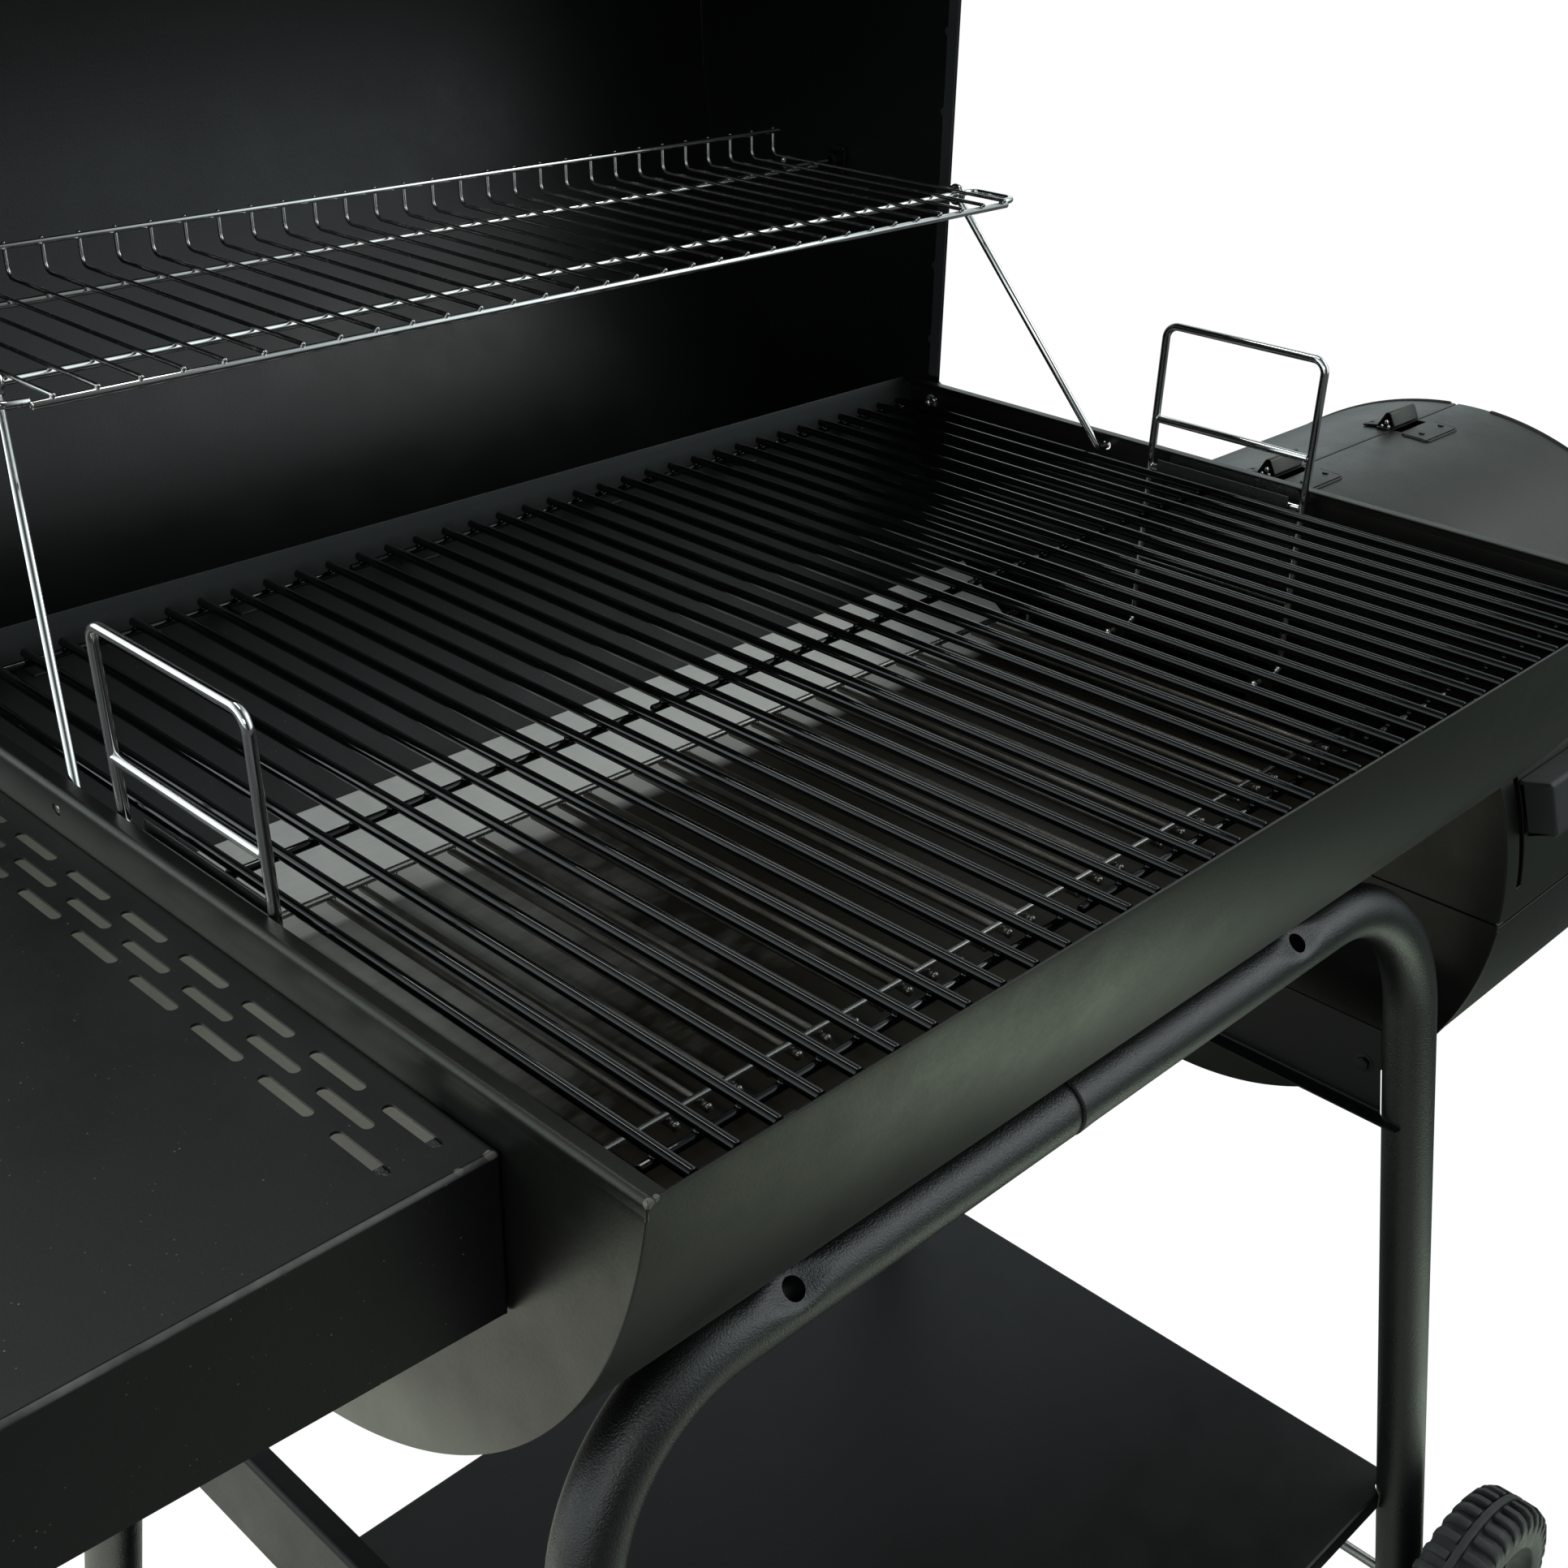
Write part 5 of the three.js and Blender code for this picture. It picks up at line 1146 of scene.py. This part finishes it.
for y, s in ((TY0, 1), (TY1, -1)):
    outer = apron(y, s)
    cols = []
    verts, faces = [], []
    xs = (TX0 + R_, TX1 - R_)
    for x in xs:
        row = [(x, y + a, TZ + b) for a, b in outer]
        row.append((x, y, drop(x) + 0.5))
        row.append((x, y + s * 0.5, drop(x)))
        row.append((x, y + s * 7, drop(x)))
        row.append((x, y + s * 7, drop(x) + 1.2))
        row.append((x, y + s * 1.4, drop(x) + 1.2))
        row.append((x, y + s * 1.2, drop(x) + 1.6))
        row += [(x, y + a + s * 1.2 * (1 if i > 0 else 1), TZ + b - (1.2 if b > -0.9 else 0.6)) for i, (a, b) in reversed(list(enumerate(outer)))]
        o = len(verts)
        verts += row
        cols.append(list(range(o, o + len(row))))
    m = len(cols[0])
    for i in range(m):
        faces.append((cols[0][i], cols[0][(i + 1) % m], cols[1][(i + 1) % m], cols[1][i]))
    faces.append(tuple(cols[0]))
    faces.append(tuple(cols[1][::-1]))
    g.add((verts, faces))
for x, s in ((TX0, 1), (TX1, -1)):
    z1 = drop(x)
    prof = strip(bent([(x + s * 0.6, z1), (x + s * 0.6, TZ - 0.6), (x + s * (R_ + 0.6), TZ - 0.6)], R_ - 0.6, 8), 1.2)
    g.add(prism("Y", prof, TY0 + R_ - 0.4, TY1 - R_ + 0.4, bev=0.15))
# rounded vertical and top corners
for x, sx in ((TX0, 1), (TX1, -1)):
    for y, sy in ((TY0, 1), (TY1, -1)):
        cx, cy = x + sx * R_, y + sy * R_
        a0 = math.degrees(math.atan2(-sy, -sx))
        z1 = drop(x)
        loop = []
        verts, faces = [], []
        n = 6
        for j in range(n + 1):
            a = math.radians(a0 - 45 + 90 * j / n)
            col = []
            for i in range(n + 1):
                e = math.radians(90 * i / n)
                col.append((cx + R_ * math.sin(e) * math.cos(a), cy + R_ * math.sin(e) * math.sin(a), TZ - R_ + R_ * math.cos(e)))
            col.append((cx + R_ * math.cos(a), cy + R_ * math.sin(a), z1 + 0.2))
            inner = (cx + (R_ - 1.2) * math.cos(a), cy + (R_ - 1.2) * math.sin(a))
            col.append((*inner, z1 + 0.2))
            col.append((*inner, TZ - R_))
            o = len(verts)
            verts += col
            loop.append(list(range(o, o + len(col))))
        m = len(loop[0])
        for j in range(n):
            for i in range(m):
                faces.append((loop[j][i], loop[j][(i + 1) % m], loop[j + 1][(i + 1) % m], loop[j + 1][i]))
        faces.append(tuple(loop[0]))
        faces.append(tuple(loop[-1][::-1]))
        g.add((verts, faces))
piece("side_table_sheet", g, M_TABLE, "frame", "side_table", angle=35, weighted=True)

for name, y in (("front", 78), ("back", 422)):
    g = Geo()
    web = [(-0.6, TZ - 1.6), (-265, TZ - 1.6), (-265, TZ - 9), (-0.6, TZ - 58)]
    hole = [(-40, TZ - 14), (-140, TZ - 14), (-40, TZ - 38)]
    hole = [(p.x, p.y) for p in bent([(*p, 0) for p in hole + hole[:2]], 5, 5)[1:-1]]
    g.add(prism("Y", web, y - 1, y + 1, holes=[clean(hole)], bev=0.4))
    g.add(box(-265, -0.4, y - 9, y + 9, TZ - 3.2, TZ - 1.6, 0.4))
    g.add(box(-2, -0.4, y - 9, y + 9, TZ - 58, TZ - 1.6, 0.4))
    for z in (TZ - 18, TZ - 46):
        for part in bolt_head((-2, y - 5, z), (-1, 0, 0), 3.2, 2.6):
            g.add(part)
    piece("table_bracket_%s_detail" % name, g, M_LEG, "frame", "table_bracket_" + name, weighted=True)

# ------------------------------------------------------------------ legs
LEG_JOINT = 321.0


def leg_path(flip, backside, z_end, straight=22, bends=26):
    y = W - LEG_Y if backside else LEG_Y
    s = 1 if backside else -1
    cx = side(flip, 39.0 if flip else 38.2)
    drop_ = LEG_Z - z_end
    end = (cx + (1 if flip else -1) * 0.0713 * drop_, y + s * 0.126 * drop_, z_end)
    start = (LEG_JOINT, y, LEG_Z)
    p = bent([start, (cx, y, LEG_Z), end], 100 if flip else 79, bends)
    # more rings on the straight run so that pressed marks can be shaped
    first = line(p[0], p[1], 60)
    last = line(p[-2], p[-1], straight)
    return first[:-1] + p[1:-1] + last[1:]


HOLE_X = {False: 142.5, True: 506.0}
for fb, backside in (("front", False), ("back", True)):
    for name, flip in SIDES:
        pts = leg_path(flip, backside, 66 if flip else 3.4)
        y = W - LEG_Y if backside else LEG_Y
        s = 1 if backside else -1
        radii = []
        for q in pts:
            r = LEG_R
            if not flip:
                dx = LEG_JOINT - q.x
                if dx < 1.0:
                    r = LEG_R - 0.9
                elif dx < 3:
                    r = LEG_R - 0.3
            else:
                dx = q.x - LEG_JOINT
                if dx < 12:
                    r = LEG_R + 0.35 * max(0.0, 1 - dx / 12)
            radii.append(r)
        vf = tube(pts, LEG_R, 44, ("flat", "flat"), 0.9, radii=radii)
        # pressed flat round the bolt hole, on the side that faces out and up
        hx = HOLE_X[flip]
        hdir = Vector((0, s * math.sin(math.radians(40)), math.cos(math.radians(40))))
        verts = []
        for p in vf[0]:
            v = Vector(p)
            rel = v - Vector((v.x, y, LEG_Z))
            along = abs(v.x - hx)
            if along < 34 and abs(v.z - LEG_Z) < 17:
                out = rel.dot(hdir)
                sidew = (rel - hdir * out).length
                lim = LEG_R - 3.4 * math.exp(-((along / 13.0) ** 2)) + sidew * 0.05
                if out > lim:
                    v = v - hdir * (out - lim) * 0.9
            verts.append(tuple(v))
        c = Vector((hx, y, LEG_Z))
        vf = boolean((verts, vf[1]), [tube([c + hdir * 3, c + hdir * 24], 5.3, 28, ("open", "open"))])
        g = Geo().add(vf)
        piece("leg_%s_%s_tube" % (fb, name), g, M_LEG, "frame", "leg_%s_%s" % (fb, name), angle=30)

for fb, backside in (("front", False), ("back", True)):
    p = leg_path(False, backside, 0)
    end, up = p[-1], (p[-2] - p[-1]).normalized()
    prof = [(-12, 0), (-12, LEG_R + 0.2), (0, LEG_R + 1.4), (4, LEG_R + 2.3), (30, LEG_R + 2.3), (33, LEG_R + 2), (34, LEG_R + 1.2), (34, LEG_R + 0.95), (5, LEG_R + 0.95), (5, 0)]
    v, f = lathe(prof, end, up, 40)
    v = [(p_[0], p_[1], max(p_[2], 0.0)) for p_ in v]
    g = Geo().add((v, f))
    for h in (9, 14, 19):
        g.add(ring_lathe([(h, LEG_R + 2.1), (h + 0.5, LEG_R + 2.4), (h + 1.4, LEG_R + 2.4), (h + 1.9, LEG_R + 2.1)], end, up, 40))
    piece("foot_%s_cap" % fb, g, M_PLASTIC, "frame", "foot_%s_left" % fb)

# ------------------------------------------------------------------ braces and shelf
fat = [tube(leg_path(f, b, 0, 2, 10), LEG_R + 0.7, 24, ("open", "open")) for f, b in ((False, False), (True, False), (False, True), (True, True))]
g = Geo()
prof = strip(bent([(31.9, RIM - 340.05), (20.5, RIM - 340.05), (20.5, RIM - 396)], 2.4, 6), 1.4)
vf = boolean(prism("Y", prof, 60, 440, bev=0.3), [fat[0], fat[2]])
g.add(vf)
for y in (78, 422):
    for part in bolt_head((19.9, y, RIM - 368), (-1, 0, 0), 4.2, 3.2):
        g.add(part)
piece("brace_left_detail", g, M_SHELF, "frame", "brace_left", weighted=True)
g = Geo()
prof = strip(bent([(632.6, RIM - 346.9), (643.9, RIM - 346.9), (643.9, RIM - 292)], 2.4, 6), 1.4)
vf = boolean(prism("Y", prof, 60, 440, bev=0.3), [fat[1], fat[3]])
g.add(vf)
for y in (92, 408):
    for part in bolt_head((643.2, y, RIM - 318), (-1, 0, 0), 4.2, 3.0):
        g.add(part)
piece("brace_right_detail", g, M_SHELF, "frame", "brace_right", weighted=True)

SX0, SX1, SY0, SY1, SZ = -1.1, 680.9, 34.1, 467.5, 168.85
g = Geo()
skin = prism("Z", rrect(SX0, SX1, SY0, SY1, 3, 5), SZ - 15.4, SZ, bev=2.0)
hollow = prism("Z", rrect(SX0 + 1.2, SX1 - 1.2, SY0 + 1.2, SY1 - 1.2, 2, 4), SZ - 30, SZ - 1.2, bev=0.8)
vf = boolean(skin, [hollow] + fat)
g.add(vf)
piece("bottom_shelf_sheet", g, M_SHELF, "frame", "bottom_shelf", angle=35, weighted=True)

# ------------------------------------------------------------------ axle and wheels
g = Geo()
g.add(tube([(AXX, -52, AXZ), (AXX, 552, AXZ)], 3.5, 24, ("flat", "flat"), 0.8))
piece("axle_rod", g, M_ZINC, "frame", "axle")
for fb, yc, s in (("front", -25.7, -1), ("back", 525.7, 1)):
    R0, hw = 88.5, 20.5
    prof = [
        (1.6, R0), (2.4, R0 - 0.4), (2.8, R0 - 3.4), (4.0, R0 - 4.0), (13.5, R0 - 4.2), (17.5, R0 - 6.5), (19.6, R0 - 10.5),
        (hw, R0 - 15), (hw, R0 - 24), (19.4, R0 - 25.6), (17.2, R0 - 26.4), (14.8, R0 - 28), (9.5, R0 - 34), (7.4, 44), (7.4, 27), (9, 23.6), (14, 21.4), (19.2, 20.4), (20.4, 19.4),
        (hw, 18), (hw, 7.4), (20.0, 4.6), (19.4, 4.3),
    ]
    ring = prof + [(-a, r) for a, r in reversed(prof)]
    g = Geo()
    g.add(ring_lathe(ring, (AXX, yc, AXZ), (0, 1, 0), 96), 0)
    lugs = 40
    for e in (-1, 1):
        for k in range(lugs):
            a = 2 * math.pi * (k + (0.5 if e > 0 else 0)) / lugs
            shape = [(3.6, R0 - 4.6), (3.6, R0 - 0.8), (4.4, R0 - 0.2), (12.8, R0 - 0.4), (17.8, R0 - 3.0), (20.2, R0 - 8), (20.6, R0 - 14.6), (20.2, R0 - 15.4), (19.0, R0 - 14), (13, R0 - 6)]
            shape = [(p_ * e, q_) for p_, q_ in shape]
            v, f = prism("X", shape, -2.9, 2.9, bev=0.7)
            q = Quaternion((0, 1, 0), a)
            v = [tuple(q @ Vector(p_) + Vector((AXX, yc, AXZ))) for p_ in v]
            g.add((v, f), 0)
    # ribs in the recessed web
    for e in (-1, 1):
        for k in range(6):
            a = 2 * math.pi * k / 6
            v, f = prism("X", [(7.2 * e, 20), (12.5 * e, 20), (11.5 * e, 40), (8.6 * e, 56), (7.2 * e, 56)], -2.2, 2.2, bev=0.6)
            q = Quaternion((0, 1, 0), a)
            g.add(([tuple(q @ Vector(p_) + Vector((AXX, yc, AXZ))) for p_ in v], f), 1)
    piece("wheel_%s_tyre" % fb, g, [M_TREAD, M_PLASTIC], "wheel_" + fb, "wheel_" + fb, angle=35)
    g = Geo()
    at = (AXX, yc + s * (hw + 0.5), AXZ)
    g.add(lathe([(0, 3.9), (0, 11.4), (0.6, 12), (3.2, 12), (4, 11.6), (5.6, 10), (7.4, 7), (8.6, 3.4), (9, 0)], at, (0, s, 0), 40))
    piece("hub_cap_%s_detail" % fb, g, M_ZINC, "frame", "hub_cap_" + fb)

# ------------------------------------------------------------------ studio numbers
# pools of painted light: the floor glows in these spots for every ray but camera rays
FLOOR_LIGHT_POOLS = (((-0.62, 0.10, 0), 0.9, 0.66), ((0.45, -1.05, 0), 0.36, 0.4), ((0.6, -0.65, 0), 1.3, 0.25), ((0.3, -0.7, 0), 0.03, 0.25),
               ((2.1, -1.0, 0), 0.1, 0.45), ((-1.15, 0.58, 0), 0.75, 0.38), ((-1.4, 0.95, 0), 0.7, 0.3))
SKY_LOBES = (((0.75, 0.62, 0.3), 1.12, 8.0), ((-1, 0.1, 0.15), 1.3, 4.0), ((0.7, -0.7, 0.12), 1.0, 8.0),
             ((0.64, -0.45, 0.6), 1.15, 8.0), ((-0.5, 0.8, 0.3), 1.9, 8.0))

# ------------------------------------------------------------------ floor
def lobes(k, vec, base, items, kind):
    """Sum of smooth lobes: kind 'dir' by direction cosine, 'spot' by distance on the floor."""
    total = base
    for centre, amount, width in items:
        if kind == "dir":
            n = k.new("ShaderNodeVectorMath", operation="DOT_PRODUCT")
            k.link(vec, n.inputs[0])
            n.inputs[1].default_value = Vector(centre).normalized()
            f = k.math("POWER", k.math("MAXIMUM", n.outputs["Value"], 0.0), width)
        else:
            n = k.new("ShaderNodeVectorMath", operation="DISTANCE")
            k.link(vec, n.inputs[0])
            n.inputs[1].default_value = centre
            q = k.math("POWER", k.math("DIVIDE", n.outputs["Value"], width), 2.0)
            f = k.math("POWER", 2.718, k.math("MULTIPLY", q, -1.0))
        total = k.math("ADD", k.math("MULTIPLY", f, amount), total)
    return total


me = bpy.data.meshes.new("floor")
me.from_pydata([(-30, -30, 0), (30, -30, 0), (30, 30, 0), (-30, 30, 0)], [], [(0, 1, 2, 3)])
floor = bpy.data.objects.new("floor", me)
bpy.context.scene.collection.objects.link(floor)
m, nt, bsdf = material("floor_white")
k = Nodes(nt)
bsdf.inputs["Base Color"].default_value = (0.12, 0.12, 0.12, 1)
bsdf.inputs["Roughness"].default_value = 0.9
bsdf.inputs["Specular IOR Level"].default_value = 0.1
lightpath = k.new("ShaderNodeLightPath")
glow = k.new("ShaderNodeEmission")
glow.inputs["Strength"].default_value = 1.02
# painted light: to lighting rays the floor is dark grey with glowing pools, while camera rays see plain white
pool_light = lobes(k, k.co, 0.01, FLOOR_LIGHT_POOLS, "spot")
k.link(pool_light, bsdf.inputs["Emission Strength"])
across = k.new("ShaderNodeSeparateXYZ")
k.link(k.co, across.inputs[0])
# tinted colour of the painted light pools across the floor
tint = k.ramp(k.range(across.outputs["X"], 0.0, 1.0, -1.0, 2.0), [(0.13, (0.96, 1.0, 0.86)), (0.45, (0.86, 1.0, 0.80)), (0.65, (0.78, 1.0, 0.77)), (0.88, (0.52, 1.0, 0.62))])
k.link(tint, bsdf.inputs["Emission Color"])
mixer = k.new("ShaderNodeMixShader")
k.link(lightpath.outputs["Is Camera Ray"], mixer.inputs[0])
k.link(bsdf.outputs[0], mixer.inputs[1])
k.link(glow.outputs[0], mixer.inputs[2])
k.link(mixer.outputs[0], [n for n in nt.nodes if n.type == "OUTPUT_MATERIAL"][0].inputs["Surface"])
me.materials.append(m)
floor.location.z = -0.0005

# ------------------------------------------------------------------ light
world = bpy.data.worlds.new("studio")
bpy.context.scene.world = world
world.use_nodes = True
nt = world.node_tree
nt.nodes.clear()
k = Nodes(nt)
outn = k.new("ShaderNodeOutputWorld")
white = k.new("ShaderNodeBackground")
dim = k.new("ShaderNodeBackground")
coord = k.new("ShaderNodeTexCoord")
k.link(lobes(k, coord.outputs["Generated"], 0.01, SKY_LOBES, "dir"), dim.inputs["Strength"])
dim.inputs["Color"].default_value = (0.89, 1.0, 1.02, 1)
lightpath = k.new("ShaderNodeLightPath")
mixer = k.new("ShaderNodeMixShader")
k.link(lightpath.outputs["Is Camera Ray"], mixer.inputs[0])
k.link(dim.outputs[0], mixer.inputs[1])
k.link(white.outputs[0], mixer.inputs[2])
k.link(mixer.outputs[0], outn.inputs["Surface"])


def area(name, loc, target, size, power, color=(1, 1, 1)):
    d = bpy.data.lights.new(name, "AREA")
    d.shape = "RECTANGLE"
    d.size, d.size_y = size
    d.energy = power
    d.color = color
    o = bpy.data.objects.new(name, d)
    bpy.context.scene.collection.objects.link(o)
    o.location = loc
    o.rotation_euler = (Vector(target) - Vector(loc)).to_track_quat("-Z", "Y").to_euler()
    return o


area("front_soft", (1.9, -1.0, 2.3), (0.2, -0.3, 0.7), (1.3, 0.6), 7, (1.0, 0.99, 0.96))
area("left_soft", (-1.75, -1.65, 1.95), (0, 0, 0.7), (0.9, 0.6), 5)
area("top_soft", (0, 0.5, 3.0), (0, 0, 0.7), (0.30, 1.6), 10, (1.0, 0.99, 0.95))

# ------------------------------------------------------------------ camera
cam = bpy.data.cameras.new("camera")
cam.sensor_width = 36.0
cam.lens = 45.474
cam.clip_start = 0.02
cam.clip_end = 100
co = bpy.data.objects.new("camera", cam)
bpy.context.scene.collection.objects.link(co)
rx = Vector((0.70134925, -0.71250442, 0.02113501))
ry = -Vector((-0.31664635, -0.33797878, -0.88628744))
rz = -Vector((0.6386269, 0.61490471, -0.46265309))
rot = Matrix((rx, ry, rz)).transposed()
pos = Vector(to_m((-287.63, -325.88, 1165.50)))
co.matrix_world = Matrix.Translation(pos) @ rot.to_4x4()
bpy.context.scene.camera = co
sc = bpy.context.scene
sc.view_settings.view_transform = "Standard"
sc.view_settings.look = "None"
